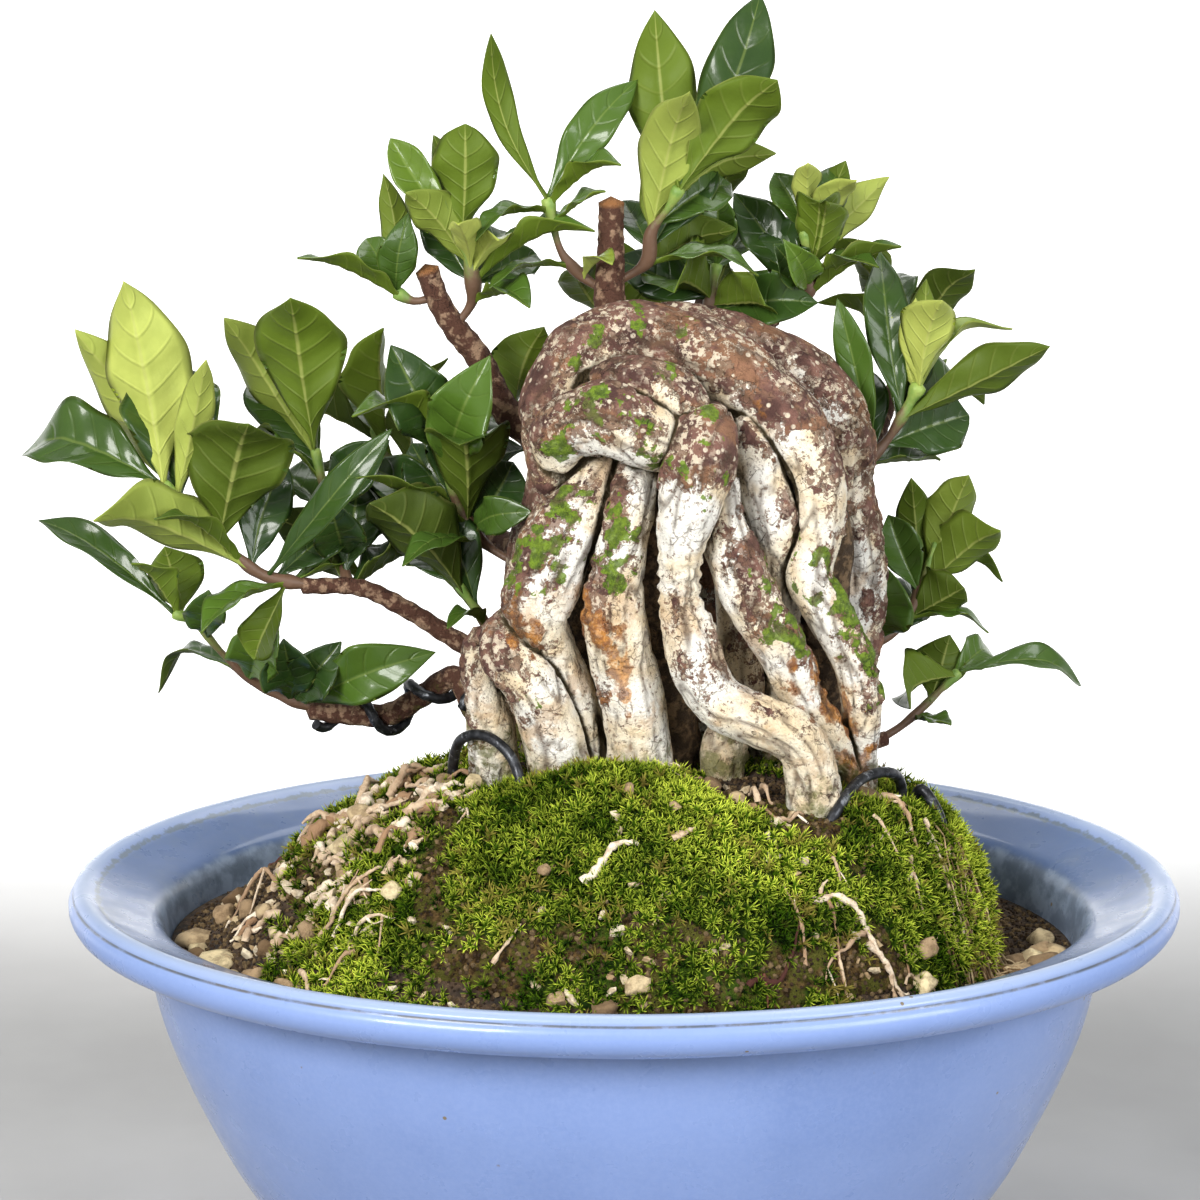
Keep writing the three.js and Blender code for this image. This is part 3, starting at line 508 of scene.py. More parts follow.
def makePot():
    outline = []
    for run in bowl["outline"]:
        places = smoothRoute([(half, 0, height) for half, height in run], bowl["step"])
        outline.extend(places[:-1])
    outline = np.maximum(0, np.array(outline + [places[-1]]))
    halves, heights = outline[:, 0], outline[:, 2]
    turns = ringTurns(bowl["turns"])
    points = asPoints(halves[:, None] * np.cos(turns), halfWidth(halves)[:, None] * np.sin(turns),
                      np.repeat(heights[:, None], len(turns), axis=1))
    # a hand-finished rim and wall are not quite even
    sway = roughNoise(points, 70, 2, 5) * 0.35 * smoothStep(2, 40, points[:, 2])
    points[:, 2] += sway * smoothStep(60, 95, points[:, 2])
    pot = facesOutward(meshObject("potBowl", points, ringFaces(len(halves), len(turns))))
    for x in (-bowl["drainSpacing"], bowl["drainSpacing"]):
        ends = np.array([(x, 0, height, bowl["drainRadius"]) for height in bowl["drainFromTo"]])
        cutterThing = facesOutward(meshObject("drainCutter", *tube(ends, bowl["drainSides"])))
        cut = pot.modifiers.new("drain", "BOOLEAN")
        cut.operation = "DIFFERENCE"
        cut.solver = "EXACT"
        cut.object = cutterThing
        settle(pot)
        bpy.data.objects.remove(cutterThing)
    places = placesOf(pot)
    # half length on the outline, from the place on the oval
    low, high = np.zeros(len(places)), np.full(len(places), 130.0)
    for _ in range(bowl["halvings"]):
        middle = (low + high) / 2
        inside = (places[:, 0] / np.maximum(1e-3, middle)) ** 2 + (
            places[:, 1] / np.maximum(1e-3, halfWidth(middle))) ** 2 > 1
        low, high = np.where(inside, middle, low), np.where(inside, high, middle)
    half = (low + high) / 2

    def near(spot, reach):
        return np.exp(-(((half - spot[0]) ** 2 + (places[:, 2] - spot[1]) ** 2) / reach ** 2))

    outside = np.interp(places[:, 2], *np.array(bowl["outline"][1])[6:, ::-1].T)
    dish = smoothStep(119.5, 117.5, half) * smoothStep(80, 93, places[:, 2])
    setValues(pot, groove=near(bowl["outerGroove"], 0.36), rim=near(bowl["innerLine"], 1.1),
              under=near(bowl["underRoll"], 1.5),
              throat=smoothStep(97.0, 92.5, places[:, 2]) * (half < outside - 1.8),
              bead=near(bowl["bead"], 2.6),
              roll=smoothStep(91, 96, places[:, 2]) * smoothStep(119, 122, half),
              dish=dish, backDish=dish * smoothStep(-10, 35, places[:, 1]))
    return pot


glazeTones = {
    "body": ((0.144, 0.22, 0.452), (0.172, 0.252, 0.496)), "grains": (0.24, 0.32, 0.56),
    # the two dish tones after the roll are painted shade in the dish, darker at its back
    "roll": (0.20, 0.29, 0.56), "thin": (0.075, 0.128, 0.265), "dishBackShade": (0.042, 0.092, 0.22),
    "mottle": (0.104, 0.148, 0.216),
    "throat": ((0.13, 0.165, 0.22), (0.24, 0.30, 0.40)), "bead": (0.344, 0.416, 0.544),
    "groove": ((0.064, 0.076, 0.084), (0.092, 0.084, 0.06)), "innerLine": (0.092, 0.12, 0.116),
    # the under tone is a painted shadow below the roll
    "under": (0.06, 0.088, 0.192), "specks": (0.16, 0.128, 0.08),
}


def glaze():
    paint = Paint("blueGlaze", Roughness=0.32, Coat_Weight=0.55, Coat_Roughness=0.09, IOR=1.42, Coat_IOR=1.45)
    tones, on, clouds, layer = glazeTones, paint.attribute, paint.clouds, paint.layer
    paint.colour = paint.mix(clouds(22, 3, 0.35, 0.65), *tones["body"])
    layer(clouds(900, 4, 0.3, 0.72, 0.7) * 0.3, tones["grains"])
    layer(on("roll"), paint.mix(0.5, paint.colour, tones["roll"]))
    # deeper and a little greyer over the dish, a painted shade that is darkest at the back of the dish; dull
    # and mottled in the throat
    layer(on("dish") * clouds(35, 4, 0.35, 0.65, to=(0.5, 1.0)), tones["thin"])
    layer(on("backDish") * 0.6, tones["dishBackShade"])
    mottle, grain = paint.patches(0.36, 0.006, 1.6, 0.2)
    layer(mottle * on("dish") * 0.3, tones["mottle"])
    throat, _ = paint.patches(on("throat"), 0.006, 0.7, 0.3)
    layer(throat * 0.9, paint.mix(paint.between(grain, 0.4, 0.62), *tones["throat"]))
    # a painted highlight along the rounded top edge of the rim
    layer(on("bead") * 0.75, tones["bead"])
    # darker lines along the rim: thin and dark in the outer groove, broad and greenish inside
    line = paint.between(on("groove"), 0.15, 0.75) * clouds(130, 6, 0.32, 0.55, 0.72, (0.25, 1.0))
    layer(line * 0.85, paint.mix(clouds(60, 2, 0.42, 0.6), *tones["groove"]))
    inner, _ = paint.patches(on("rim") * 0.72, 0.0025, 1.5, 0.15)
    layer(inner * 0.7, tones["innerLine"])
    # a painted shadow in the corner where the body meets the underside of the roll
    layer(on("under") * 0.6, tones["under"])
    layer(paint.between(paint.cells(160), 0.085, 0.06) * clouds(75, 1, 0.6, 0.64), tones["specks"])
    dulled = paint.between(on("roll"), 0, 1, 1, 0.35)
    paint.give("Coat Weight", paint.between(throat, 0, 1, 0.55, 0.1) * dulled)
    paint.give("Roughness", clouds(120, 4, 0.3, 0.7, to=(0.24, 0.42)))
    paint.bump(paint.noise(1300, 3), 0.08, 0.0002)
    paint.bump(paint.noise(55, 2), 0.2, 0.0011)
    return paint.finish()


asPiece(makePot(), [glaze()], "glaze", "pot")
print("pot made")


# the soil, from the pot's floor to the top of the mound
mound = {
    "middle": (8, -2),
    "peak": 128,
    # right, front, left, back
    "edge": (84, 91, 87.5, 87),
    "steepness": (4.2, 2.9, 2.2, 2.6),
    "reach": (0.84, 1, 0.95, 0.93),
    "halfLength": 102.5,
    "halfWidth": 77.5,
    "turns": 380,
    "rings": 130,
    "innermost": 0.02,
    # height and size of broad and of fine lumps
    "lumps": (1.6, 14),
    "crumbs": (1.1, 4.2),
    # half length and height of the sides, inside the pot's wall
    "walls": ((60.5, 7.6), (67.4, 15.5), (80.2, 32.8), (93, 57.5), (100.2, 78)),
}

moss = {
    "from": (0.6, 0.2, 0.36, 0.56),
    "to": (0.8, 0.97, 0.78, 0.85),
    "rim": 1.2,
    "thickness": 5.2,
    "cushion": 17,
    "tuft": 7,
    "sunk": 1.5,
    "rings": 90,
    # how much of the mound is covered, and what lush spots, bare spots and noise add
    "cover": 0.42,
    "lush": 0.9,
    "bare": 0.8,
    "ragged": 0.75,
    # how young its shoots are, and what young spots and noise add, and the tufts a painted shade: darker in
    # the clefts between them, brighter on top
    "tone": 0.05,
    "young": 0.75,
    "mottled": 0.9,
    "tuftShade": 0.6,
    # places where the moss swells or sinks: x, y, reach, height
    "swells": [(-7, -28, 15, 5), (-5, -40, 17, 2.2), (11, -50, 14, 2.5), (28, -24, 12, -4),
               (37, -34, 9, -2.5), (62, -27, 15, 2.5), (-58, -44, 13, 1.5), (-36, -46, 8, -2.5),
               (42, -58, 9, -1.5), (-60, 4, 14, -2.5), (-12, -68, 14, -1), (-46, -24, 9, 1),
               (20, -66, 8, 1.5), (-30, -64, 8, 1.5)],
}


# Blends four values for the right, front, left and back by the direction seen from above.
def around(values, angle):
    x, y = np.cos(angle), np.sin(angle)
    right, front, left, back = values
    return x * x * np.where(x > 0, right, left) + y * y * np.where(y > 0, back, front)


def shareToWall(x, y):
    middleX, middleY = mound["middle"]
    runX, runY = (x - middleX) / mound["halfLength"], (y - middleY) / mound["halfWidth"]
    startX, startY = middleX / mound["halfLength"], middleY / mound["halfWidth"]
    a = np.maximum(runX ** 2 + runY ** 2, 1e-9)
    b = 2 * (startX * runX + startY * runY)
    c = startX ** 2 + startY ** 2 - 1
    return 2 * a / (-b + np.sqrt(b * b - 4 * a * c))


def moundAngle(x, y):
    return np.arctan2(y - mound["middle"][1], x - mound["middle"][0])


def soilHeight(x, y):
    angle = moundAngle(x, y)
    edge = around(mound["edge"], angle)
    share = shareToWall(x, y) / around(mound["reach"], angle)
    rise = np.maximum(0, 1 - share ** around(mound["steepness"], angle))
    return edge + (mound["peak"] - edge) * rise


# The height of the nearest rounded cushion, from 0 to 1.
def cushionHeight(x, y, size):
    column, row = np.floor(x / size), np.floor(y / size)
    nearest = np.ones_like(x)
    for stepX in (-1, 0, 1):
        for stepY in (-1, 0, 1):
            i, j = column + stepX, row + stepY
            shiftX = 0.5 + 0.35 * np.sin(i * 12.9 + j * 78.2)
            shiftY = 0.5 + 0.35 * np.sin(i * 39.3 + j * 11.1)
            nearest = np.minimum(nearest, np.hypot(x / size - i - shiftX, y / size - j - shiftY))
    return np.sqrt(1 - nearest ** 2)


# How far a place is over the moss, from its inner margin at 0 to its outer one at 1.
def mossPart(x, y):
    angle = moundAngle(x, y)
    inner, outer = around(moss["from"], angle), around(moss["to"], angle)
    return (shareToWall(x, y) - inner) / (outer - inner)


def flatNoise(x, y, size, octaves, seed):
    return roughNoise(asPoints(x, y, np.zeros_like(x)), size, octaves, seed).reshape(x.shape)


# Small tufts in the moss, from 0 in the clefts between them to 1 on top.
def tuftHeight(x, y):
    shiftX, shiftY = (flatNoise(x, y, 9, 2, seed) * 3 for seed in (67, 68))
    tufts = cushionHeight(x + shiftX, y + shiftY, moss["tuft"])
    return np.clip((tufts - 0.55) / 0.4, 0, 1)


def mossLift(x, y):
    part = np.clip(mossPart(x, y), 0, 1)
    swell = np.sqrt(np.sin(np.pi * part).clip(0))
    cushions = 0.3 + 0.7 * cushionHeight(x, y, moss["cushion"])
    lift = moss["thickness"] * 0.62 * cushions + 2.2 * tuftHeight(x, y)
    lift = lift + 0.7 * flatNoise(x, y, 5, 3, 71)
    for spotX, spotY, reach, height in moss["swells"]:
        lift = lift + height * np.exp(-((x - spotX) ** 2 + (y - spotY) ** 2) / reach ** 2)
    return np.where((part > 0) & (part < 1), moss["rim"] * 0.6 + swell * np.maximum(0.5, lift), -9)


def soilLumps(x, y):
    (broad, broadSize), (fine, fineSize) = mound["lumps"], mound["crumbs"]
    lumps = broad * flatNoise(x, y, broadSize, 4, 11) + fine * np.abs(flatNoise(x, y, fineSize, 3, 23))
    return lumps * np.minimum(1, 9 * (1 - shareToWall(x, y)).clip(0))


# The top of the soil or the moss at a place.
def groundHeight(x, y):
    x, y = np.asarray(x, float), np.asarray(y, float)
    return soilHeight(x, y) + np.maximum(soilLumps(x, y), mossLift(x, y))


def wallRing():
    turns = ringTurns(mound["turns"])
    return mound["halfLength"] * np.cos(turns), mound["halfWidth"] * np.sin(turns)


# Places from the mound's middle at 0 to the pot's wall at 1, all the way round.
def moundPlaces(shares):
    wallX, wallY = wallRing()
    middleX, middleY = mound["middle"]
    return middleX + (wallX - middleX) * shares, middleY + (wallY - middleY) * shares


def moundGrid():
    return moundPlaces(np.linspace(mound["innermost"], 1, mound["rings"])[:, None])


def makeSoil():
    x, y = moundGrid()
    top = np.stack([x, y, soilHeight(x, y) + soilLumps(x, y)], axis=2)[::-1]
    turns = ringTurns(mound["turns"])
    walls = [np.stack([half * np.cos(turns), float(halfWidth(np.array(half))) * np.sin(turns),
                       np.full(len(turns), height)], axis=1) for half, height in mound["walls"]]
    ends = [(0, 0, mound["walls"][0][1]), (*mound["middle"], mound["peak"])]
    points = np.vstack([*walls, top.reshape(-1, 3), ends])
    return facesOutward(meshObject("soilMound", points, closedRings(len(walls) + len(top), len(turns))))


def earth():
    paint = Paint("darkSoil", Roughness=0.95)
    _, grain = paint.patches(0.5, 0.004)
    paint.colour = paint.mix(paint.between(grain, 0.35, 0.65), (0.012, 0.008, 0.005), (0.062, 0.036, 0.018))
    paint.layer(paint.clouds(700, 4, 0.55, 0.72, 0.7), (0.17, 0.105, 0.055))
    paint.bump(paint.noise(420, 5, 0.65), 0.8, 0.002)
    paint.bump(paint.noise(1900, 3, 0.6), 0.5, 0.0005)
    return paint.finish()


asPiece(makeSoil(), [earth()], "soil", "soil")
print("soil made")


# The drain screens keep their solids and get this material.
def screenPlastic():
    paint = Paint("screenPlastic", Roughness=0.6)
    paint.colour = paint.mix(paint.clouds(300, 4, 0.35, 0.65), (0.020, 0.023, 0.021), (0.035, 0.038, 0.035))
    paint.bump(paint.noise(2500, 2), 0.15, 0.0002)
    return paint.finish()


plastic = screenPlastic()
for name in ("drain_screen_left", "drain_screen_right"):
    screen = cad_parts[name]
    for place in range(max(1, len(screen.material_slots))):
        if screen.material_slots:
            screen.material_slots[place].material = plastic
        else:
            screen.data.materials.append(plastic)


# roots, trunk and boughs
wood = {
    "fineStep": 0.9,
    "plainStep": 1.4,
    "boughStep": 1.0,
    "swell": 1.0,
    "furrow": 0.6,
    "plate": 0.7,
    "crack": 0.7,
    "grain": 0.25,
    "groove": 0.9,
    "fatter": 0.5,
    # the middle of the lump, and where the middle root is wrinkled across: height and reach
    "core": (14, 4, 165),
    "wrinkles": (175, 8),
}

# each root's route, with the radius at each point
roots = {
    "arch": [(-13, -6, 190, 5), (-15, -6, 200, 6.6), (-14, -4, 212, 7.6), (-8, 0, 221, 8), (4, 2, 223, 8.2),
             (17, 0, 220, 8.4), (28, -4, 213, 8), (37, -8, 204, 7.4), (42, -10, 193, 6.2),
             (42, -12, 182, 5.4), (40, -14, 174, 5.2), (45, -14, 165, 5), (50, -13, 155, 4.8),
             (52, -12, 146, 4.6), (52, -10, 134, 4.4), (52, -8, 116, 4.4)],
    "backArch": [(-3, 16, 217, 8), (15, 18, 220, 8.6), (28, 18, 216, 8.8), (41, 18, 209, 8.6),
                 (48, 20, 199, 7.8), (49, 22, 186, 7.2), (52, 24, 172, 7), (53, 26, 157, 6.8),
                 (51, 26, 143, 6.6), (49, 24, 129, 6.6), (48, 22, 108, 6.6)],
    "knotLower": [(-14, -12, 201, 6), (-12, -16, 207, 7), (-4, -19, 210, 8), (5, -20, 207, 7.6),
                  (14, -18, 203, 6)],
    "knotUpper": [(-5, -10, 214, 6), (3, -14, 216, 6.4), (10, -16, 214, 6.2), (15, -18, 209, 5.4)],
    "centreRoot": [(17, -14, 208, 6), (16, -21, 205, 7.8), (15, -24, 198, 7.6), (13, -25, 189, 6.2),
                   (12, -25, 180, 4.7), (12, -25, 170, 4.7), (14, -25, 163, 5.6), (16, -26, 155, 5.8),
                   (21, -27, 149, 5.6), (30, -28, 145, 5.6), (38, -28, 140, 5.7), (41, -27, 131, 5.9),
                   (40, -25, 114, 6.2)],
    "frontLeftRoot": [(2, -12, 199, 4.6), (1, -19, 191, 5.6), (-1, -21, 182, 5.8), (-2, -21, 171, 6.2),
                      (-1, -20, 158, 6.8), (2, -18, 146, 7.2), (3, -16, 132, 7.6), (3, -14, 119, 7.6)],
    "leftRoot": [(-6, -10, 200, 6), (-8, -14, 191, 7.4), (-13, -17, 184, 8), (-17, -18, 175, 8),
                 (-20, -18, 167, 7.4), (-17, -16, 158, 6), (-12, -14, 147, 5.8), (-8, -12, 132, 6),
                 (-7, -11, 120, 6)],
    "kneeFront": [(-21, -15, 166, 5.4), (-25, -18, 159, 6.6), (-20, -20, 151, 6.8), (-17, -19, 144, 7),
                  (-14, -17, 132, 7.4), (-13, -16, 119, 7.4)],
    "kneeSide": [(-22, -14, 162, 5.4), (-29, -14, 156, 6), (-30, -14, 148, 5.2), (-29, -12, 138, 5.4),
                 (-29, -10, 128, 5.4), (-29, -9, 117, 5.4)],
    "slimRoot": [(20, -16, 196, 4.6), (22, -19, 183, 5.4), (26, -20, 173, 5.8), (33, -20, 161, 5.6),
                 (38, -18, 150, 4.8), (45, -15, 139, 3.8), (51, -11, 128, 3.4), (53, -9, 115, 3.4)],
    "innerRoot": [(27, -6, 208, 6), (30, -10, 197, 6.4), (33, -11, 186, 5.8), (34, -9, 174, 5),
                  (34, -4, 157, 4.6), (33, 0, 140, 4.8), (33, 4, 121, 5), (33, 6, 112, 5)],
    "caveRoot": [(24, 0, 184, 5), (25, -4, 170, 5), (26, -6, 155, 4.8), (26, -8, 144, 4.6),
                 (22, -9, 134, 4.8), (21, -9, 119, 5)],
    "rearRootLeft": [(-12, 8, 204, 8), (-14, 10, 186, 8), (-18, 14, 169, 8), (-20, 16, 153, 7.6),
                     (-17, 18, 138, 7.4), (-15, 20, 113, 7.4)],
    "rearRootMiddle": [(6, 10, 212, 10), (8, 12, 200, 11), (12, 14, 181, 11), (15, 16, 157, 10.5),
                       (17, 18, 138, 10), (17, 20, 112, 9)],
    "rearRootRight": [(30, 14, 206, 9), (31, 17, 190, 9.5), (33, 20, 175, 9.5), (35, 23, 150, 9),
                      (34, 26, 130, 8.6), (33, 28, 108, 8.4)],
}

boughs = {
    "middle": [(-17, 16, 147, 3.6), (-33, 12, 151, 2.4), (-48, 12, 160, 2), (-59, 10, 166, 1.8),
               (-72, 8, 167, 1.6)],
    "low": [(-17, 17, 131, 4), (-33, 16, 135, 2.8), (-38, 19, 143, 2.6), (-46, 22, 138, 2.5),
            (-54, 24, 133, 2.5), (-63, 24, 133, 2.4), (-72, 24, 134, 2.2)],
    "upperLeft": [(-13, 10, 197, 5), (-26, 16, 205, 3.2), (-33, 18, 218, 2.8), (-38, 18, 224, 2.7),
                  (-42, 18, 231, 2.6), (-44, 18, 237, 2.5)],
    "top": [(2, 6, 220, 6), (-3, 16, 229, 3.6), (-3, 18, 239, 3), (-3, 18, 252, 2.8)],
    "right": [(26, 22, 218, 5), (31, 30, 223, 2.8), (34, 32, 224, 2)],
    "back": [(17, 20, 218, 5), (18, 29, 222, 2.2)],
    "middleRight": [(48, 20, 192, 4), (51, 28, 187, 2)],
    "lowRight": [(52, 26, 151, 4), (56, 31, 147, 2)],
    "footRight": [(50, 25, 126, 4), (56, 30, 124, 1.8), (61, 32, 125, 1.5)],
    "rearLeft": [(-16, 18, 168, 4), (-34, 46, 172, 2.6), (-46, 56, 178, 2.2)],
    "rearMiddle": [(12, 18, 196, 5), (10, 46, 192, 3), (8, 58, 194, 2.4)],
    "rearRight": [(50, 24, 184, 4), (58, 44, 194, 2.6), (62, 54, 202, 2.2)],
    "rearTop": [(18, 22, 220, 4), (19, 40, 226, 2.6), (20, 50, 232, 2.2)],
}

# dark roots deep between the others, filling gaps that hold only shade: their dark colour is a painted shade
innerRoots = {
    "innerLeft": [(-6, 3, 199, 6), (-6, 2, 182, 7), (-6, 1, 165, 7), (-7, 2, 148, 7), (-6, 4, 116, 7)],
    "innerMiddle": [(8, -6, 200, 5), (7, -9, 182, 5), (7, -8, 165, 5), (10, -6, 148, 6), (11, -2, 116, 7)],
    "innerRight": [(40, 2, 196, 6), (44, 2, 180, 6), (44, 4, 160, 6), (45, 6, 140, 6), (44, 8, 112, 6)],
}

# how much dark bark is left on each root, from its top to its foot
barkLeft = {
    "arch": (0.3, 0.4, 0.45, 0.55, 0.55, 0.5, 0.35, 0.15, 0.0, -0.1, 0.0, -0.1, -0.2, -0.2),
    "backArch": (0.5, 0.5, 0.4, 0.3, 0.2, 0.15, 0.1, 0.1),
    "knotLower": (0.2, 0.25, 0.3, 0.3, 0.2),
    "knotUpper": (0.4, 0.45, 0.35, 0.2),
    "centreRoot": (1.0, 0.85, -0.4, -0.5, -0.3, 0.05, -0.2, -0.5, -0.6, -0.6, -0.5),
    "frontLeftRoot": (0.0, 0.05, 0.0, -0.25, -0.4, -0.5, -0.5),
    "leftRoot": (-0.1, 0.05, 0.1, 0.1, -0.1, -0.35, -0.4),
    "kneeFront": (0.35, 0.1, -0.2, -0.4, -0.5),
    "kneeSide": (0.3, 0.05, -0.2, -0.3, -0.3),
    "slimRoot": (-0.2, 0.0, 0.0, -0.1, -0.25, -0.3, -0.3),
    "innerRoot": (0.0, -0.1, -0.1, 0.0, 0.1, 0.1),
    "caveRoot": (0.0, -0.1, -0.2, -0.2),
}

# patches on the roots: middle and reach
greenPatches = [
    (-14, -20, 203, 8), (-8, -22, 213, 8), (1, -24, 210, 6), (6, -24, 205, 7), (10, -20, 214, 6),
    (17, -28, 208, 6), (12, -28, 203, 5), (20, -27, 201, 5), (17, -28, 197, 5), (-12, -24, 192, 8),
    (-18, -24, 184, 8), (-23, -22, 177, 6), (-14, -25, 179, 5), (-19, -24, 172, 5),
    (0, -26, 186, 7), (-2, -26, 181, 7), (-1, -26, 175, 6), (32, -24, 178, 5),
    (34, -24, 172, 6), (36, -24, 167, 6), (38, -24, 162, 5), (33, -25, 164, 5), (42, -18, 178, 7),
    (46, -18, 172, 8), (50, -17, 166, 7), (52, -17, 161, 7), (55, -16, 155, 6), (57, -14, 149, 5),
    (3, -4, 230, 5), (12, -6, 228, 5), (-6, -6, 226, 5), (8, -18, 218, 6), (-20, -24, 150, 5),
    (-10, -12, 222, 5),
]
rustPatches = [
    (-6, -26, 164, 6), (-2, -27, 160, 8), (0, -26, 154, 7), (-8, -24, 167, 5), (40, -20, 151, 8),
    (45, -18, 145, 8), (48, -15, 137, 8), (51, -12, 130, 7), (36, -24, 156, 5), (50, -14, 126, 7),
    (-24, -24, 168, 6), (54, -12, 133, 5), (29, -12, 211, 2), (24, -8, 216, 3),
    (-20, -25, 165, 5),
]


# The distance from each place to the surface of each limb.
def limbDistances(places, lines):
    distances = []
    for line in lines:
        best = np.full(len(places), 1e9)
        for x, y, z, radius in line:
            best = np.minimum(best, np.sqrt((places[:, 0] - x) ** 2 + (places[:, 1] - y) ** 2
                                            + (places[:, 2] - z) ** 2) - radius)
        distances.append(best)
    return np.array(distances)


def spotField(places, spots, stretch):
    field = np.full(len(places), -1.0)
    for x, y, z, reach in spots:
        distance = np.linalg.norm((places - (x, y, z)) * stretch, axis=1)
        field = np.maximum(field, 1 - distance / reach)
    return field


def makeWood():
    routes = {**roots, **innerRoots, **boughs}
    names = list(routes)
    shapes, owner, share, around3d = [], [], [], []
    for place, (name, route) in enumerate(routes.items()):
        kind = "fineStep" if name in barkLeft else "boughStep" if name in boughs else "plainStep"
        step = wood[kind]
        line = smoothRoute(route, step)
        if name in roots:
            line[:, 3] += wood["fatter"]
        sides = round(2 * math.pi * line[:, 3].max() / step)
        points, faces = tube(line, sides)
        shapes.append((points, faces))
        owner.append(np.full(len(points), place))
        share.append(np.append(np.repeat(np.linspace(0, 1, len(line)), sides), (0, 1)))
        turn = np.append(np.tile(ringTurns(sides), len(line)), (0, 0))
        radius = np.append(np.repeat(line[:, 3], sides), (0, 0))
        down = share[-1] * len(line) * step
        around3d.append(asPoints(radius * np.cos(turn), radius * np.sin(turn), down * 0.28 + 40 * place))
    owner, share, around3d = np.concatenate(owner), np.concatenate(share), np.vstack(around3d)
    limbs = meshObject("woodGrown", *joined(shapes))
    places, normals = placesOf(limbs), normalsOf(limbs)
    distances = limbDistances(places, [smoothRoute(route, 2.0) for route in routes.values()])
    distances[owner, np.arange(len(places))] = 1e9
    toNext = distances.min(axis=0)
    isBough = np.array([name in boughs for name in names])[owner]
    isInner = np.array([name in innerRoots for name in names])[owner]

    # dark bark is left most on the sides that face away from the middle
    outward = places - np.array(wood["core"])
    outward /= np.linalg.norm(outward, axis=1)[:, None]
    facing = np.einsum("ij,ij->i", normals, outward)
    left = np.full(len(places), 0.6)
    for place, name in enumerate(names):
        if name in barkLeft:
            mine = owner == place
            left[mine] = np.interp(share[mine], np.linspace(0, 1, len(barkLeft[name])), barkLeft[name])
    # nearness to another limb: less bark there, and dirt and painted shade in the clefts
    cleft = np.exp(-np.clip(toNext, 0, None) / 1.4) * np.where(isBough, 0.3, 1)
    broad, ragged = roughNoise(places, 11, 3, 41), roughNoise(places, 4.2, 4, 43)
    side = normals[:, 0] * np.tanh((places[:, 0] - 12) / 12)
    bark = (left + 0.28 * (facing - 0.3) + 0.22 * normals[:, 2] + 0.3 * side + 0.75 * broad + 0.95 * ragged
            - 0.3 * cleft)
    bark = np.where(isBough, 1.2, bark)
    green = spotField(places, greenPatches, (1.25, 0.7, 0.85)) - 0.2 + 1.5 * ragged + 0.5 * broad
    rust = spotField(places, rustPatches, (1.35, 0.7, 0.6)) - 0.1 + 0.6 * broad + 1.1 * ragged
    reach = np.interp(places[:, 0], (-31, -18), (36, 19))
    low = 1 - smoothStep(0, 1, (places[:, 2] - soilHeight(places[:, 0], places[:, 1]) - 1) / reach)
    cracks = smoothStep(0.07, 0.0, np.abs(gradientNoise(around3d / 5.2, 61)))

    # relief: knobs, long furrows, cracks, and bark that stands proud of the bare wood
    lift = wood["swell"] * roughNoise(places, 14, 2, 47)
    lift += wood["furrow"] * roughNoise(around3d, 3.6, 3, 53)
    lift += wood["plate"] * (smoothStep(0.44, 0.56, bark) - 0.5)
    lift -= wood["crack"] * cracks * smoothStep(-0.1, 0.25, broad + 0.1)
    lift += wood["grain"] * roughNoise(places, 2.1, 2, 59)
    centre = owner == names.index("centreRoot")
    height, reach = wood["wrinkles"]
    wrinkle = np.exp(-((places[:, 2] - height) / reach) ** 2) * centre
    lift += 0.5 * wrinkle * np.sin(places[:, 2] * 2.1 + 0.9 * np.sin(places[:, 0] * 0.8))
    lift = np.where(isBough, 0.3 * lift + 0.12 * np.sin(share * 90), lift)
    lift -= wood["groove"] * np.exp(-np.clip(toNext, -0.5, None) / 1.5) * np.where(isBough, 0.2, 1)
    movePlaces(limbs, places + normals * lift[:, None])

    cutEnds = (owner == names.index("upperLeft")) | (owner == names.index("top"))
    setValues(limbs, barkLeft=bark, greenField=green, rustField=rust, cleft=cleft, low=low, bough=isBough,
              inner=isInner, cracks=cracks * ~isBough, cutEnd=cutEnds & (share > 0.985))
    print("wood", len(limbs.data.polygons), "faces")
    return limbs


barkTones = {
    "bare": ((0.76, 0.61, 0.40), (0.90, 0.81, 0.63)), "chalk": (0.93, 0.90, 0.82), "tan": (0.54, 0.35, 0.18),
    "pits": (0.20, 0.125, 0.075), "chips": (0.215, 0.115, 0.070), "fineCracks": (0.22, 0.13, 0.07),
    "bark": ((0.072, 0.032, 0.026), (0.22, 0.108, 0.082)), "lighter": (0.27, 0.150, 0.095),
    "worn": (0.36, 0.18, 0.085), "flecks": (0.66, 0.56, 0.42), "dots": (0.70, 0.60, 0.46),
    "bough": ((0.085, 0.036, 0.022), (0.30, 0.19, 0.12)), "edge": (0.095, 0.048, 0.030),
    "rust": ((0.58, 0.25, 0.05), (0.25, 0.09, 0.025)), "green": ((0.055, 0.105, 0.004), (0.165, 0.27, 0.012)),
    "algae": (0.120, 0.130, 0.026), "cracks": (0.085, 0.050, 0.030), "grimeAndShade": (0.060, 0.042, 0.016),
    "deep": ((0.055, 0.034, 0.018), (0.21, 0.135, 0.072)), "cutEnd": (0.30, 0.13, 0.045),
}


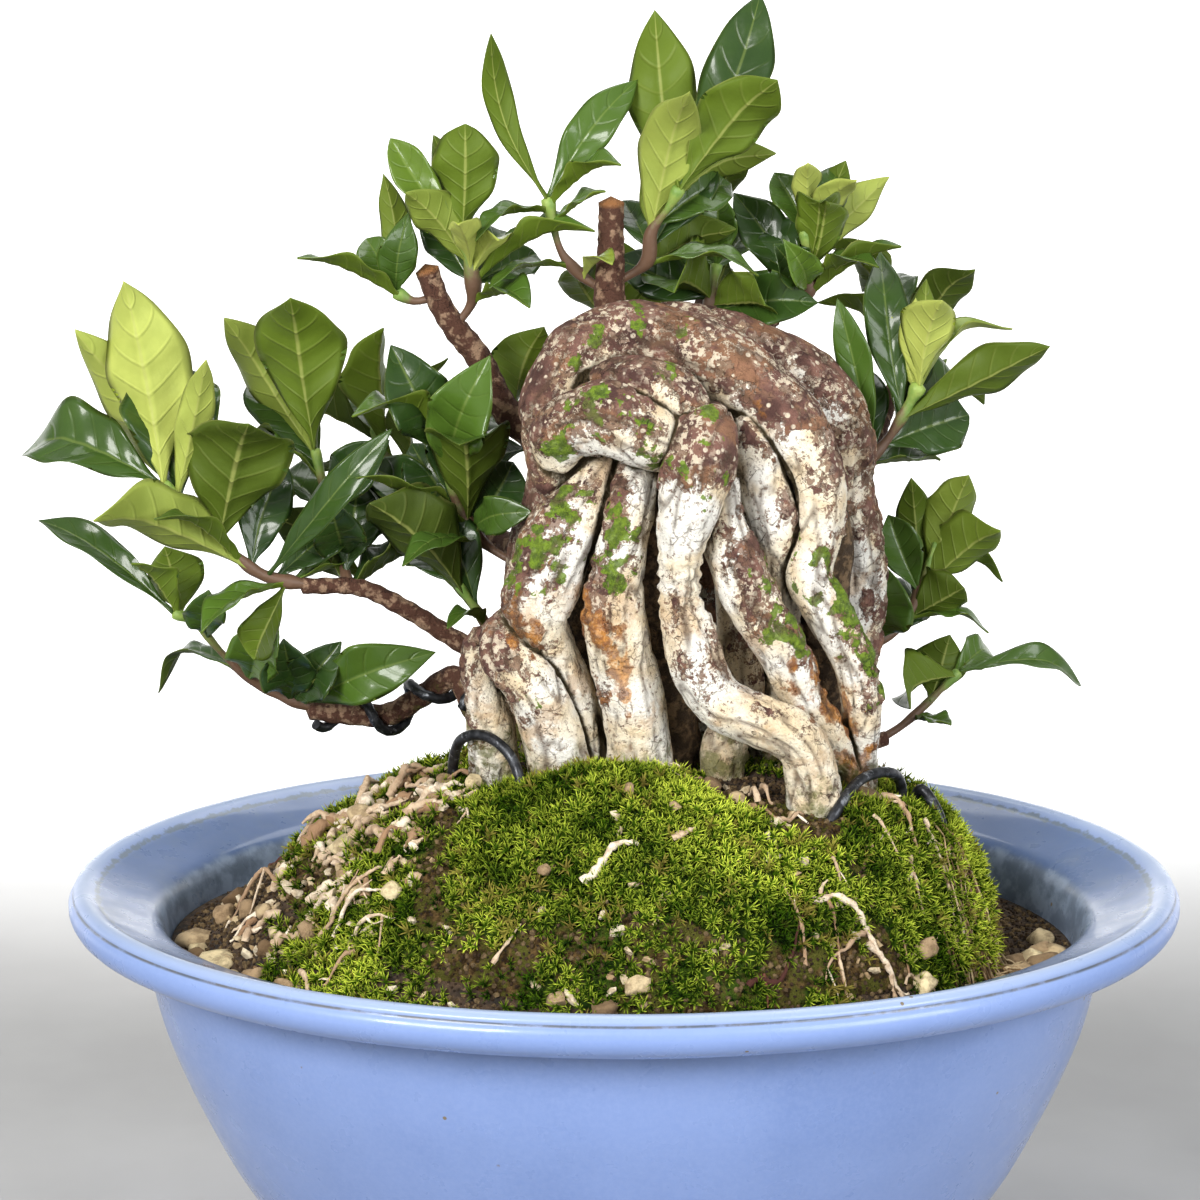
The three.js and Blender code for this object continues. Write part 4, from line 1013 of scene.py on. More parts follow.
def barkMaterial():
    paint = Paint("rootBark", Roughness=0.82, Specular_IOR_Level=0.3)
    tones, on, mix, clouds, layer = barkTones, paint.attribute, paint.mix, paint.clouds, paint.layer
    between, patches = paint.between, paint.patches
    fine, coarse = paint.noise(750, 5, 0.72), paint.noise(300, 5, 0.65)
    # the bare wood under the bark: chalky, with tan and pale clouds, small dark chips and fine cracks
    paint.colour = mix(clouds(130, 5, 0.38, 0.62), *tones["bare"])
    layer(clouds(52, 3, 0.45, 0.6), tones["chalk"])
    layer(clouds(90, 5, 0.53, 0.64, 0.65) * 0.6, tones["tan"])
    layer(between(fine, 0.45, 0.37) * 0.75, tones["pits"])
    chips, _ = patches(on("barkLeft") + 0.2, 0.0009, 2.2, 0.02)
    layer(chips * 0.85, tones["chips"])
    warped = paint.out("ShaderNodeVectorMath", {0: paint.noise(260, 3), 1: (0.004,) * 3, 2: paint.place},
                       operation="MULTIPLY_ADD")
    crackle = paint.cells(300, warped, feature="DISTANCE_TO_EDGE")
    fineCracks = between(crackle, 0.045, 0.01) * clouds(150, 4, 0.5, 0.6, 0.65)
    layer(fineCracks * 0.5, tones["fineCracks"])
    # bark with pale flecks
    dark = mix(clouds(170, 5, 0.36, 0.64), *tones["bark"])
    dark = mix(between(coarse, 0.5, 0.62) * 0.5, dark, tones["lighter"])
    dark = mix(clouds(75, 4, 0.52, 0.6, 0.6) * 0.5, dark, tones["worn"])
    dark = mix(clouds(560, 4, 0.515, 0.55, 0.75) * clouds(95, 4, 0.42, 0.58), dark, tones["flecks"])
    dark = mix(between(paint.cells(430), 0.30, 0.20) * clouds(140, 3, 0.44, 0.54), dark, tones["dots"])
    dark = mix(on("bough"), dark, mix(clouds(420, 4, 0.5, 0.62), *tones["bough"]))
    barkMask, _ = patches(on("barkLeft"), 0.0014, 1.1, 0.015, 0.55)
    layer(barkMask, dark)
    # a dark line where the bark breaks off
    rimMask, _ = patches(on("barkLeft") + 0.05, 0.0014, 1.1, 0.015, 0.55)
    layer((rimMask - barkMask) * 0.7, tones["edge"])
    rustMask, rustGrain = patches(on("rustField"), 0.002, 1.8, 0.16)
    layer(rustMask * 0.8, mix(between(rustGrain, 0.4, 0.6), *tones["rust"]))
    greenMask, greenGrain = patches(on("greenField"), 0.0016, 1.4, 0.02, 0.6)
    layer(greenMask * 0.92, mix(between(greenGrain, 0.35, 0.65), *tones["green"]))
    # algae near the soil; dirt and painted shade in the cracks and clefts
    lowMask, _ = patches(on("low") * 0.6, 0.0035, 1.9, 0.2)
    layer(lowMask * 0.8, tones["algae"])
    layer(on("cracks") * 0.75, tones["cracks"])
    # dirt and painted shade where another limb is near
    layer(between(on("cleft") + (coarse - 0.5) * 1.1, 0.55, 1.0), tones["grimeAndShade"])
    # the inner roots painted dark, a painted shade deep in the gaps
    layer(on("inner"), mix(between(coarse, 0.45, 0.6), *tones["deep"]))
    layer(on("cutEnd"), tones["cutEnd"])
    paint.give("Roughness", between(greenMask, 0, 1, 0.82, 0.65))
    paint.bump(barkMask + chips * 0.4 - fineCracks + fine, 1.0, 0.0011)
    paint.bump(coarse, 0.8, 0.0014)
    return paint.finish()


asPiece(makeWood(), [barkMaterial()], "bark", "wood")
print("wood made")


# the ways that a leaf's upper side can face
facings = {"up": (0, 0, 1), "rising": (0, -0.7, 0.7), "front": (0, -1, 0.35), "back": (0, 1, 0.35)}

# each shoot: its stem's route, and its leaves: place along the stem, tip, width, way it faces, tone from
# dark to young and pale, where the palest partly carry a painted glow of light through backlit leaves, and
# for some the bend to one side
shoots = {
    "leftTip": (
        [(-70, 8, 167), (-81, 6, 170), (-88, 4, 176), (-96, 2, 184), (-102, 0, 192)],
        [(1, (-110, -2, 237), 19, "back", 0.95), (0.96, (-119, 14, 224), 15, "back", 0.85),
         (0.9, (-91, -8, 222), 8, "back", 0.8), (0.88, (-99, 20, 216), 22, "front", 0.15),
         (0.97, (-138, 20, 199), 17, "rising", 0.2), (0.58, (-81, -14, 212), 24, "back", 0.25),
         (0.35, (-116, -20, 190), 15, "back", 0.72), (0.25, (-52, -6, 205), 8, "front", 0.1),
         (0.12, (-93, -14, 161), 9, "up", 0.5), (0.14, (-83, -6, 153), 10, "back", 0.4),
         (0.42, (-102, -14, 189), 8, "up", 0.3), (0.12, (-59, 20, 168), 7, "up", 0.4)]),
    "leftMiddle": (
        [(-62, 10, 166), (-65, 18, 175), (-68, 22, 186), (-70, 24, 195)],
        [(1, (-74, 14, 233), 21, "back", 0.45), (0.97, (-90, 28, 225), 13, "back", 0.7),
         (0.9, (-86, 42, 207), 12, "front", 0.2), (0.8, (-84, 36, 198), 14, "up", 0.35),
         (0.6, (-53, 14, 199), 12, "front", 0.08), (0.25, (-66, 0, 189), 12, "front", 0.05),
         (0.55, (-83, 34, 188), 13, "up", 0.2)]),
    "innerLow": (
        [(-23, 14, 150), (-30, 10, 156), (-33, 9, 161), (-37, 8, 167)],
        [(0.95, (-56, -8, 189), 19, "back", 0.12), (1, (-45, 26, 172), 12, "front", 0.05),
         (0.5, (-39, -6, 163), 6, "up", 0.3)]),
    "innerLeft": (
        [(-22, 12, 170), (-31, 14, 175), (-35, 13, 180), (-39, 12, 189), (-40, 12, 197)],
        [(1, (-51, 6, 221), 15, "front", 0.12), (0.97, (-58, -4, 212), 11, "up", 0.55),
         (0.85, (-30, 0, 220), 15, "front", 0.5), (0.5, (-36, -10, 208), 19, "back", 0.2),
         (0.47, (-60, -8, 192), 11, "up", 0.25), (0.35, (-49, -8, 178), 9, "up", 0.3),
         (0.75, (-27, 28, 206), 13, "front", 0.1)]),
    "behindLeft": (
        [(-16, 14, 188), (-20, 23, 191), (-23, 28, 198), (-25, 30, 205)],
        [(1, (-19, 36, 221), 14, "back", 0.45), (0.95, (-29, 38, 216), 12, "back", 0.35),
         (0.6, (-32, 44, 190), 12, "front", 0.1)]),
    "leftLow": (
        [(-70, 24, 134), (-83, 22, 140), (-91, 19, 148), (-98, 16, 157), (-102, 15, 159)],
        [(1, (-135, 34, 177), 9, "rising", 0.15), (0.42, (-80, 6, 160), 13, "front", 0.5),
         (0.16, (-77, 12, 155), 13, "front", 0.08), (0.14, (-66, 14, 151), 12, "front", 0.1),
         (0.1, (-44, 10, 151), 13, "front", 0.42), (0.75, (-93, 6, 167), 10, "front", 0.2),
         (0.96, (-110, 6, 173), 11, "up", 0.5), (0.5, (-110, 44, 140), 7, "up", 0.1)]),
    "crownLeft": (
        [(-38, 18, 224), (-34, 17, 230), (-34, 15, 237), (-36, 14, 245)],
        [(1, (-35, 8, 270), 15, "back", 0.45), (0.98, (-42, 24, 266), 10, "back", 0.3),
         (1, (-52, 20, 266), 9, "front", 0.6), (0.68, (-48, 6, 256), 10, "back", 0.65),
         (0.62, (-27, 2, 248), 8, "back", 0.9), (0.35, (-21, 2, 234), 9, "up", 0.35),
         (0.55, (-7, 12, 248), 10, "up", 0.45), (0.5, (-21, 34, 237), 11, "front", 0.2),
         (0.7, (-36, -8, 249), 7, "back", 0.95), (0.9, (-49, 28, 259), 8, "front", 0.6)]),
    "crownFarLeft": (
        [(-42, 18, 231), (-47, 18, 230), (-51, 18, 232)],
        [(1, (-48, 12, 250), 9, "front", 0.3), (0.75, (-72, 8, 242), 10, "up", 0.35),
         (0.95, (-58, 26, 243), 9, "front", 0.4), (1, (-54, 24, 258), 7, "back", 0.55)]),
    "crownTop": (
        [(-4, 18, 232), (-10, 19, 236), (-14, 18, 241), (-16, 17, 248), (-17, 17, 253)],
        [(1, (-29, 12, 291), 6.5, "back", 0.4, 0.11), (1, (3, 26, 279), 10, "front", 0.35),
         (0.96, (-1, 4, 263), 9, "up", 0.5), (0.4, (-30, 6, 235), 7, "up", 0.35),
         (0.35, (-5, 32, 224), 12, "back", 0.4), (0.92, (-33, 2, 248), 7, "up", 0.35),
         (0.8, (-4, 14, 255), 7, "up", 0.5), (0.25, (-3, 2, 243), 6, "up", 0.8)]),
    "crownRight": (
        [(-2, 18, 234), (5, 17, 239), (6, 15, 246), (10, 13, 252), (12, 12, 256)],
        [(1, (7, 28, 293), 16, "back", 0.55), (0.5, (14, 0, 281), 13, "back", 0.75),
         (1, (30, 34, 295), 15, "front", 0.15), (0.97, (33, 4, 282), 17, "back", 0.4),
         (0.9, (31, 28, 263), 12, "back", 0.65), (0.6, (25, 24, 257), 12, "front", 0.25),
         (0.3, (30, 14, 239), 9, "up", 0.35), (0.4, (0, 30, 250), 9, "front", 0.15)]),
    "crownBack": (
        [(18, 26, 221), (19, 31, 223), (20, 32, 229), (21, 33, 236)],
        [(1, (21, 30, 253), 9, "front", 0.35), (0.6, (10, 16, 234), 17, "back", 0.45),
         (0.55, (32, 16, 230), 16, "back", 0.3), (0.45, (43, 26, 229), 13, "front", 0.15),
         (1, (9, 46, 241), 12, "front", 0.3), (0.95, (31, 48, 245), 12, "front", 0.25)]),
    "rightTop": (
        [(33, 32, 224), (41, 32, 229), (42, 32, 237), (41, 32, 244)],
        [(1, (41, 26, 261), 7, "back", 0.95), (0.97, (34, 38, 256), 9, "front", 0.3),
         (0.95, (49, 38, 259), 9, "front", 0.2), (0.8, (61, 40, 255), 9, "back", 0.75),
         (0.7, (43, 18, 256), 10, "back", 0.5), (0.5, (56, 22, 240), 11, "up", 0.3),
         (0.5, (33, 26, 242), 10, "front", 0.15), (0.4, (25, 42, 251), 12, "front", 0.15),
         (0.9, (52, 24, 258), 8, "back", 0.8)]),
    "rightMiddle": (
        [(50, 27, 187), (59, 29, 195), (63, 29, 201), (67, 28, 209)],
        [(0.7, (59, 42, 239), 11, "front", 0.2), (0.3, (48, 30, 229), 8, "front", 0.3),
         (1, (71, 18, 231), 12, "back", 0.85), (0.95, (86, 38, 225), 7, "up", 0.7),
         (0.7, (95, 14, 220), 12, "back", 0.3), (0.4, (79, 42, 199), 15, "front", 0.1),
         (0.8, (84, 48, 204), 11, "up", 0.3), (1, (66, 28, 229), 7, "back", 0.9),
         (0.95, (61, 34, 224), 8, "back", 0.9), (0.2, (73, 38, 188), 8, "up", 0.2),
         (0.97, (70, 44, 232), 8, "back", 0.6)]),
    "rightLow": (
        [(56, 30, 147), (64, 32, 152), (69, 34, 161), (72, 35, 171)],
        [(0.8, (79, 30, 188), 12, "back", 0.6), (0.65, (86, 24, 178), 13, "back", 0.6),
         (0.6, (66, 36, 187), 9, "back", 0.25), (0.4, (78, 26, 162), 13, "back", 0.3),
         (0.4, (85, 34, 153), 8, "up", 0.45), (0.1, (60, 24, 167), 16, "front", 0.3),
         (0.6, (61, 38, 177), 10, "front", 0.3), (0.8, (89, 44, 164), 7, "up", 0.3)]),
    "rightFoot": (
        [(60, 32, 125), (65, 33, 128), (72, 35, 134), (78, 36, 140)],
        [(1, (109, 42, 138), 8, "rising", 0.2), (0.97, (63, 20, 137), 12, "back", 0.45),
         (0.9, (87, 50, 143), 9, "front", 0.4), (0.4, (76, 28, 129), 8, "up", 0.4)]),
}

# dark leaves that fill the clusters from behind, in the same form
fillers = {
    "leftTip": [(0.35, (-76, 18, 193), 12, "front", 0.05), (0.2, (-62, 16, 180), 10, "front", 0.1)],
    "leftMiddle": [(0.1, (-60, 20, 189), 15, "front", 0.05), (0.02, (-79, 22, 181), 14, "back", 0.0),
                   (0.0, (-44, 18, 174), 12, "up", 0.1), (0.4, (-52, 26, 184), 11, "front", 0.0)],
    "innerLeft": [(0.4, (-60, 22, 193), 12, "front", 0.05), (0.45, (-25, 20, 193), 14, "front", 0.05),
                  (0.45, (-23, -2, 186), 9, "front", 0.3), (0.55, (-48, 18, 198), 13, "front", 0.1),
                  (0.6, (-40, 22, 206), 12, "front", 0.0)],
    "innerLow": [(0.7, (-44, 16, 186), 12, "front", 0.0), (0.6, (-52, 14, 176), 9, "up", 0.15)],
    "leftLow": [(0.96, (-104, 18, 174), 14, "back", 0.5), (0.3, (-84, 28, 150), 10, "back", 0.05)],
    "crownLeft": [(0.5, (-44, 26, 250), 10, "front", 0.1), (0.45, (-26, 28, 246), 9, "front", 0.15)],
    "crownRight": [(0.4, (20, 28, 262), 12, "front", 0.1), (0.5, (13, 30, 268), 11, "back", 0.6),
                   (0.3, (22, 30, 246), 11, "back", 0.3)],
    "crownBack": [(0.6, (-2, 34, 238), 12, "front", 0.05), (0.5, (24, 40, 236), 13, "back", 0.3)],
    "rightTop": [(0.6, (45, 24, 254), 12, "back", 0.5), (0.6, (50, 38, 259), 10, "back", 0.4),
                 (0.45, (36, 20, 243), 8, "front", 0.55), (0.35, (62, 26, 242), 9, "up", 0.3),
                 (0.5, (31, 40, 246), 11, "front", 0.05)],
    "rightMiddle": [(0.6, (66, 46, 222), 11, "front", 0.05), (0.3, (54, 44, 212), 10, "front", 0.05)],
    "rightLow": [(0.5, (74, 44, 178), 11, "front", 0.1), (0.2, (70, 44, 160), 13, "front", 0.05)],
    "rightFoot": [(0.6, (76, 40, 148), 12, "back", 0.25)],
}

# the shoots at the back: the stem's route, the number and the length of the leaves round it
rearShoots = {
    "rearLeft": ([(-44, 55, 178), (-54, 62, 184), (-60, 66, 192)], 5, 32),
    "rearMiddle": ([(8, 56, 194), (4, 68, 200), (4, 74, 208)], 5, 32),
    "rearRight": ([(61, 53, 201), (66, 62, 212), (66, 66, 220)], 5, 30),
    "rearTop": ([(20, 48, 232), (20, 56, 240), (22, 60, 250)], 5, 28),
}

leafShape = {
    "footPower": (1.3, 1.7),
    "tipPower": (0.95, 1.2),
    "bow": 0.09,
    "fold": (0.15, 0.8),
    "tipCurl": (-0.1, 0.22),
    "wave": 0.1,
    "quilt": 0.026,
    "veins": 7,
    "thickness": 0.5,
    "rib": 0.55,
    "across": 12,
    "rowsPerMillimetre": 0.85,
}


# One leaf as points, faces, the side that each face is on, and its place along and across at each point.
def leafSheet(foot, tip, width, upward, chance, bend=0.0):
    foot, tip, upward = (np.array(value, float) for value in (foot, tip, upward))
    chord = tip - foot
    length = np.linalg.norm(chord)
    along = chord / length
    up = unit(upward - along * np.dot(upward, along))
    side = np.cross(along, up)
    rows = int(np.clip(length * leafShape["rowsPerMillimetre"], 16, 40))
    columns = leafShape["across"]
    u = np.linspace(0, 0.985, rows + 1)[:, None]
    v = np.linspace(-1, 1, columns + 1)[None, :]
    v = np.sign(v) * np.abs(v) ** 1.15
    # narrow at the foot, widest past the middle, and drawn to a point
    a, b = chance.uniform(*leafShape["footPower"]), chance.uniform(*leafShape["tipPower"])
    widest = a / (a + b)
    half = (u / widest) ** a * ((1 - u) / (1 - widest)) ** b * width / 2 + 0.55 * (1 - smoothStep(0, 0.12, u))
    half = half * (1 + 0.03 * np.sin(u * 19 + chance.uniform(0, 6)) * np.sign(v))
    phase, twist = chance.uniform(0, 6.28), chance.uniform(-0.3, 0.3)
    sway = (chance.uniform(-0.05, 0.05) + bend) * length
    bow = leafShape["bow"] * chance.uniform(0.6, 1.3) * length
    rise = 4 * bow * u * (1 - u) * (1 + 0.6 * (u - 0.5))
    fold = chance.uniform(*leafShape["fold"]) * half * np.abs(v) ** 1.4
    wave = leafShape["wave"] * width * np.abs(v) ** 2 * np.sin(u * 15 + phase + v * 1.3) * np.sin(np.pi * u)
    veinPhase = leafShape["veins"] * (u - 0.15 * np.abs(v) ** 1.3)
    ripple = (0.5 - 0.5 * np.cos(2 * np.pi * veinPhase)) * (1 - v ** 4)
    quilt = leafShape["quilt"] * width * ripple * np.sin(np.pi * u)
    curlAtTip = -chance.uniform(*leafShape["tipCurl"]) * length
    curl = curlAtTip * smoothStep(0.5, 1, u) ** 2
    groove = -0.035 * width * np.exp(-(v / 0.09) ** 2) * np.sin(np.pi * np.clip(u * 1.1, 0, 1))
    height = rise + fold + wave + quilt + curl + groove + twist * half * v * np.sin(np.pi * u)
    aside = half * v + sway * np.sin(np.pi * u)
    middle = (foot + chord * u[..., None] + up * height[..., None] + side * aside[..., None])
    thin = leafShape["thickness"] / 2 * (1 - v ** 4) * np.ones_like(u)
    stalk = 0.45 * (1 - smoothStep(0.03, 0.12, u)) * np.exp(-(v / 0.8) ** 2)
    rib = leafShape["rib"] * (1 - 0.75 * u) * np.exp(-(v * half / 0.75) ** 2)
    upper = middle + up * (thin + stalk)[..., None]
    lower = middle - up * (thin + stalk + rib * np.ones_like(v))[..., None]
    lower[:, 0], lower[:, -1] = upper[:, 0], upper[:, -1]
    number = np.arange((rows + 1) * (columns + 1)).reshape(rows + 1, columns + 1)
    under = number + number.size
    under[:, 0], under[:, -1] = number[:, 0], number[:, -1]
    points = np.vstack([upper.reshape(-1, 3), lower.reshape(-1, 3), tip + up * curlAtTip])
    last = len(points) - 1
    faces, sides = [], []

    def square(grid, row, column):
        return grid[row, column], grid[row, column + 1], grid[row + 1, column + 1], grid[row + 1, column]

    for row in range(rows):
        for column in range(columns):
            faces += [square(number, row, column), square(under, row, column)[::-1]]
            sides += [0, 1]
    for column in range(columns):
        faces.append((number[rows, column], number[rows, column + 1], last))
        faces.append((under[rows, column + 1], under[rows, column], last))
        sides += [0, 1]
        faces.append((number[0, column + 1], number[0, column], under[0, column], under[0, column + 1]))
        sides.append(1)
    faces = [tuple(dict.fromkeys(int(corner) for corner in face)) for face in faces]
    alongUv = np.append(np.tile(np.repeat(u.ravel(), columns + 1), 2), 1.0)
    acrossUv = np.append(np.tile(np.tile(v.ravel(), rows + 1), 2), 0.0)
    return points, faces, sides, alongUv, acrossUv


def ruledLeaves(line, count, length, chance):
    leaves = []
    golden = math.pi * (3 - math.sqrt(5))
    for place in range(count):
        at = 0.3 + 0.7 * (place + 0.5) / count
        spot = min(len(line) - 2, int(at * (len(line) - 1)))
        along = unit(line[spot + 1, :3] - line[spot, :3])
        sideways = unit(np.cross((0, 1, 0), along))
        outward = np.cross(along, sideways)
        turn = place * golden + chance.random()
        spread = 0.55 + 0.5 * (1 - at)
        direction = unit(along * (1 - 0.5 * spread) + sideways * spread * math.cos(turn)
                         + outward * spread * math.sin(turn))
        reach = length * (0.75 + 0.35 * chance.random())
        foot = line[spot, :3]
        leaves.append((at, tuple(foot + direction * reach), reach * 0.4, tuple(along),
                       chance.uniform(0.1, 0.5)))
    return leaves


def makeSpray(name, route, leaves, seed):
    chance = random.Random(seed)
    line = smoothRoute([(*place, 0) for place in route], 1.2)
    share = np.linspace(0, 1, len(line))
    line[:, 3] = np.interp(share, (0, 1), (1.0, 0.62))
    for at, *_ in leaves:
        line[:, 3] += 0.28 * np.exp(-((share - at) * len(line) / 2.2) ** 2)
    stemPoints, stemFaces = tube(line, 10)
    shapes = [(stemPoints, stemFaces)]
    kinds = [2] * len(stemFaces)
    alongUv = [np.append(np.repeat(share, 10), (0, 1))]
    acrossUv = [np.zeros(len(stemPoints))]
    tones = [np.full(len(stemPoints), 0.5)]
    for at, tip, width, facing, tone, *bend in leaves:
        spot = at * (len(line) - 1)
        low = min(len(line) - 2, int(spot))
        foot = line[low, :3] + (line[low + 1, :3] - line[low, :3]) * (spot - low)
        upward = facings[facing] if isinstance(facing, str) else facing
        points, faces, sides, leafAlong, leafAcross = leafSheet(foot, tip, width, upward, chance, *bend)
        shapes.append((points, faces))
        kinds += sides
        alongUv.append(leafAlong)
        acrossUv.append(leafAcross)
        tones.append(np.full(len(points), tone + chance.uniform(-0.05, 0.05)))
    spray = meshObject(name, *joined(shapes))
    spray.data.polygons.foreach_set("material_index", kinds)
    setValues(spray, alongLeaf=np.concatenate(alongUv), acrossLeaf=np.concatenate(acrossUv),
              tone=np.concatenate(tones))
    return spray


# A group that gives the pattern of ribs on a leaf, from its place along and across.
def makeVeinGroup():
    nodes, given, end = newTree(
        "leafVeins", "ShaderNodeTree", dict.fromkeys(("Along", "Across", "Count"), "Float"),
        dict.fromkeys(("Midrib", "Veins", "Margin"), "Float"))
    across, between = given["Across"], nodes.between
    aside = across.math("ABSOLUTE", across)
    phase = (given["Along"] - aside.math("POWER", aside, 1.3) * 0.15) * given["Count"]
    veins = between(phase.math("PINGPONG", phase, 0.5), 0.11, 0.0) * between(aside, 0.95, 0.6)
    feed(nodes.tree, end.inputs["Midrib"], between(aside, 0.065, 0.015))
    feed(nodes.tree, end.inputs["Veins"], veins)
    feed(nodes.tree, end.inputs["Margin"], between(aside, 0.93, 1.0))
    return nodes.tree


veinGroup = makeVeinGroup()

# each side of a leaf: tones when old, grown and young, the young tone also painting the glow of backlit
# leaves, and its ribs' tone and strength
leafSides = {
    "leafUpper": {
        "old": (0.015, 0.038, 0.008), "grown": (0.066, 0.127, 0.015),
        "young": (0.295, 0.369, 0.025), "rib": (0.205, 0.262, 0.061),
        "veins": 0.12, "midrib": 0.5, "relief": -1.0,
        "shine": {"Roughness": 0.33, "Coat_Weight": 0.3, "Coat_Roughness": 0.12, "Specular_IOR_Level": 0.22},
    },
    "leafUnder": {
        "old": (0.037, 0.056, 0.007), "grown": (0.096, 0.146, 0.013),
        "young": (0.42, 0.47, 0.105), "rib": (0.344, 0.361, 0.107),
        "veins": 0.2, "midrib": 0.8, "relief": 1.0,
        "shine": {"Roughness": 0.52, "Specular_IOR_Level": 0.15},
    },
}


def leafMaterial(name):
    side = leafSides[name]
    paint = Paint(name, **side["shine"])
    midrib, veins, margin = paint.group(veinGroup, Along=paint.attribute("alongLeaf"),
                                        Across=paint.attribute("acrossLeaf"), Count=float(leafShape["veins"]))
    tone = paint.attribute("tone")
    paint.colour = paint.mix(paint.between(tone, 0.0, 0.55), side["old"], side["grown"])
    paint.layer(paint.between(tone, 0.5, 1.0), side["young"])
    paint.layer(paint.clouds(130, 3, 0.35, 0.7, to=(0, 0.35)), paint.mix(0.5, paint.colour, side["grown"]))
    paint.layer(veins * side["veins"], paint.mix(0.45, paint.colour, side["rib"]))
    paint.layer(midrib * side["midrib"], paint.mix(0.6, paint.colour, side["rib"]))
    paint.layer(margin * 0.35, side["rib"])
    paint.bump(veins * side["relief"] + paint.noise(900, 3) * 0.35, 0.5, 0.0003)
    return paint.finish()


def stemMaterial():
    paint = Paint("greenStem", Roughness=0.55)
    woody, _ = paint.patches(1.25 - paint.attribute("alongLeaf"), 0.004, 0.8, 0.2)
    paint.colour = paint.mix(paint.clouds(250, 3, 0.35, 0.65), (0.13, 0.23, 0.04), (0.26, 0.36, 0.07))
    paint.layer(woody, (0.115, 0.062, 0.035))
    paint.bump(paint.noise(800, 4), 0.4, 0.0004)
    return paint.finish()


leafMaterials = [leafMaterial("leafUpper"), leafMaterial("leafUnder"), stemMaterial()]
for seed, (name, (route, leaves)) in enumerate(shoots.items()):
    leaves = leaves + fillers.get(name, [])
    asPiece(makeSpray("leaves_" + name, route, leaves, seed + 1), leafMaterials, "leaf", "spray_" + name)
for seed, (name, (route, count, length)) in enumerate(rearShoots.items()):
    line = smoothRoute([(*place, 0) for place in route], 1.2)
    leaves = ruledLeaves(line, count, length, random.Random(60 + seed))
    asPiece(makeSpray("leaves_" + name, route, leaves, 40 + seed), leafMaterials, "leaf", "spray_" + name)
print("leaves made")


# where the moss is lush, and where it is thin: x, y, reach along x and y, amount
lushSpots = [(-6, -34, 30, 24, 1.0), (12, -52, 24, 13, 1.0), (-24, -52, 18, 13, 0.8), (62, -26, 17, 24, 1.0),
             (38, -50, 16, 10, 0.55), (-64, -48, 20, 14, 0.8), (-52, -30, 14, 10, 0.4),
             (-62, -8, 12, 10, 0.35), (0, 40, 60, 22, 0.6), (-60, 20, 18, 22, 0.5), (60, 30, 20, 22, 0.6),
             (66, -2, 12, 16, 0.8)]
bareSpots = [(8, -66, 10, 6, 0.35), (-27, -64, 12, 8, 0.7), (-37, -50, 9, 8, 0.9), (36, -67, 9, 6, 0.35),
             (28, -24, 17, 12, 1.8), (40, -33, 10, 8, 1.3), (-44, -36, 9, 14, 0.45), (-66, -20, 12, 14, 0.4),
             (-92, -6, 17, 50, 1.4), (98, -5, 16, 60, 1.4), (-84, -34, 9, 12, 1.0), (50, -55, 10, 7, 0.6),
             (-50, -12, 12, 9, 0.9), (80, -40, 9, 13, 1.3), (87, -22, 5, 14, 0.9), (-60, -26, 9, 8, 0.7),
             (-17, -54, 6, 5, 0.7)]
youngSpots = [(-2, -20, 26, 9, 0.6), (16, -38, 12, 8, 1.0), (28, -50, 13, 7, 1.0), (78, -12, 7, 20, 1.0),
              (-30, -60, 10, 6, 0.6), (40, -46, 12, 6, 0.5), (-62, -52, 12, 7, 0.8)]

drySpots = [(-8, -25, 13, 7, 1.0), (-26, -60, 14, 6, 0.6), (-56, -8, 12, 10, 0.8), (44, -60, 12, 6, 0.6)]


def blobs(x, y, spots):
    field = np.zeros_like(x)
    for spotX, spotY, reachX, reachY, amount in spots:
        away = ((x - spotX) / reachX) ** 2 + ((y - spotY) / reachY) ** 2
        field = np.maximum(field, amount * smoothStep(1.3, 0.45, away))
    return field


def mossCover(x, y):
    lush, bare = moss["lush"] * blobs(x, y, lushSpots), moss["bare"] * blobs(x, y, bareSpots)
    field = moss["cover"] + lush - bare
    field = field + moss["ragged"] * flatNoise(x, y, 8, 3, 81)
    share = shareToWall(x, y)
    return np.clip(1.5 * field, 0, 1) * smoothStep(0.985, 0.95, share) * smoothStep(0.0, 0.1, share)


# How young and bright the moss is, from 0 to 1, with painted shade darker in the clefts between tufts.
def mossTone(x, y):
    noises = moss["mottled"] * roughNoise(asPoints(x, y, soilHeight(x, y)), 9, 3, 85).reshape(x.shape)
    tone = moss["young"] * blobs(x, y, youngSpots) + moss["tone"] + noises
    # painted shade: darker in the clefts between tufts, brighter on their tops
    return np.clip(tone + moss["tuftShade"] * (tuftHeight(x, y) - 0.5), -0.2, 1)


def makeMossMat():
    direction = moundAngle(*wallRing())
    inner, outer = around(moss["from"], direction), around(moss["to"], direction)
    x, y = moundPlaces(inner + (outer - inner) * np.linspace(0.001, 0.999, moss["rings"])[:, None])
    ground = soilHeight(x, y)
    upper, under = asPoints(x, y, ground + mossLift(x, y)), asPoints(x, y, ground - moss["sunk"])
    rings, sides = x.shape
    shift, far = len(upper), (rings - 1) * sides
    sheet = ringFaces(rings, sides)
    faces = sheet + [tuple(corner + shift for corner in face[::-1]) for face in sheet]
    for side in range(sides):
        after = (side + 1) % sides
        faces += [(side, shift + side, shift + after, after),
                  (far + after, shift + far + after, shift + far + side, far + side)]
    mat = meshObject("mossMat", np.vstack([upper, under]), faces)
    setValues(mat, cover=np.tile(mossCover(x, y).ravel(), 2), tuft=np.tile(tuftHeight(x, y).ravel(), 2))
    return facesOutward(mat)


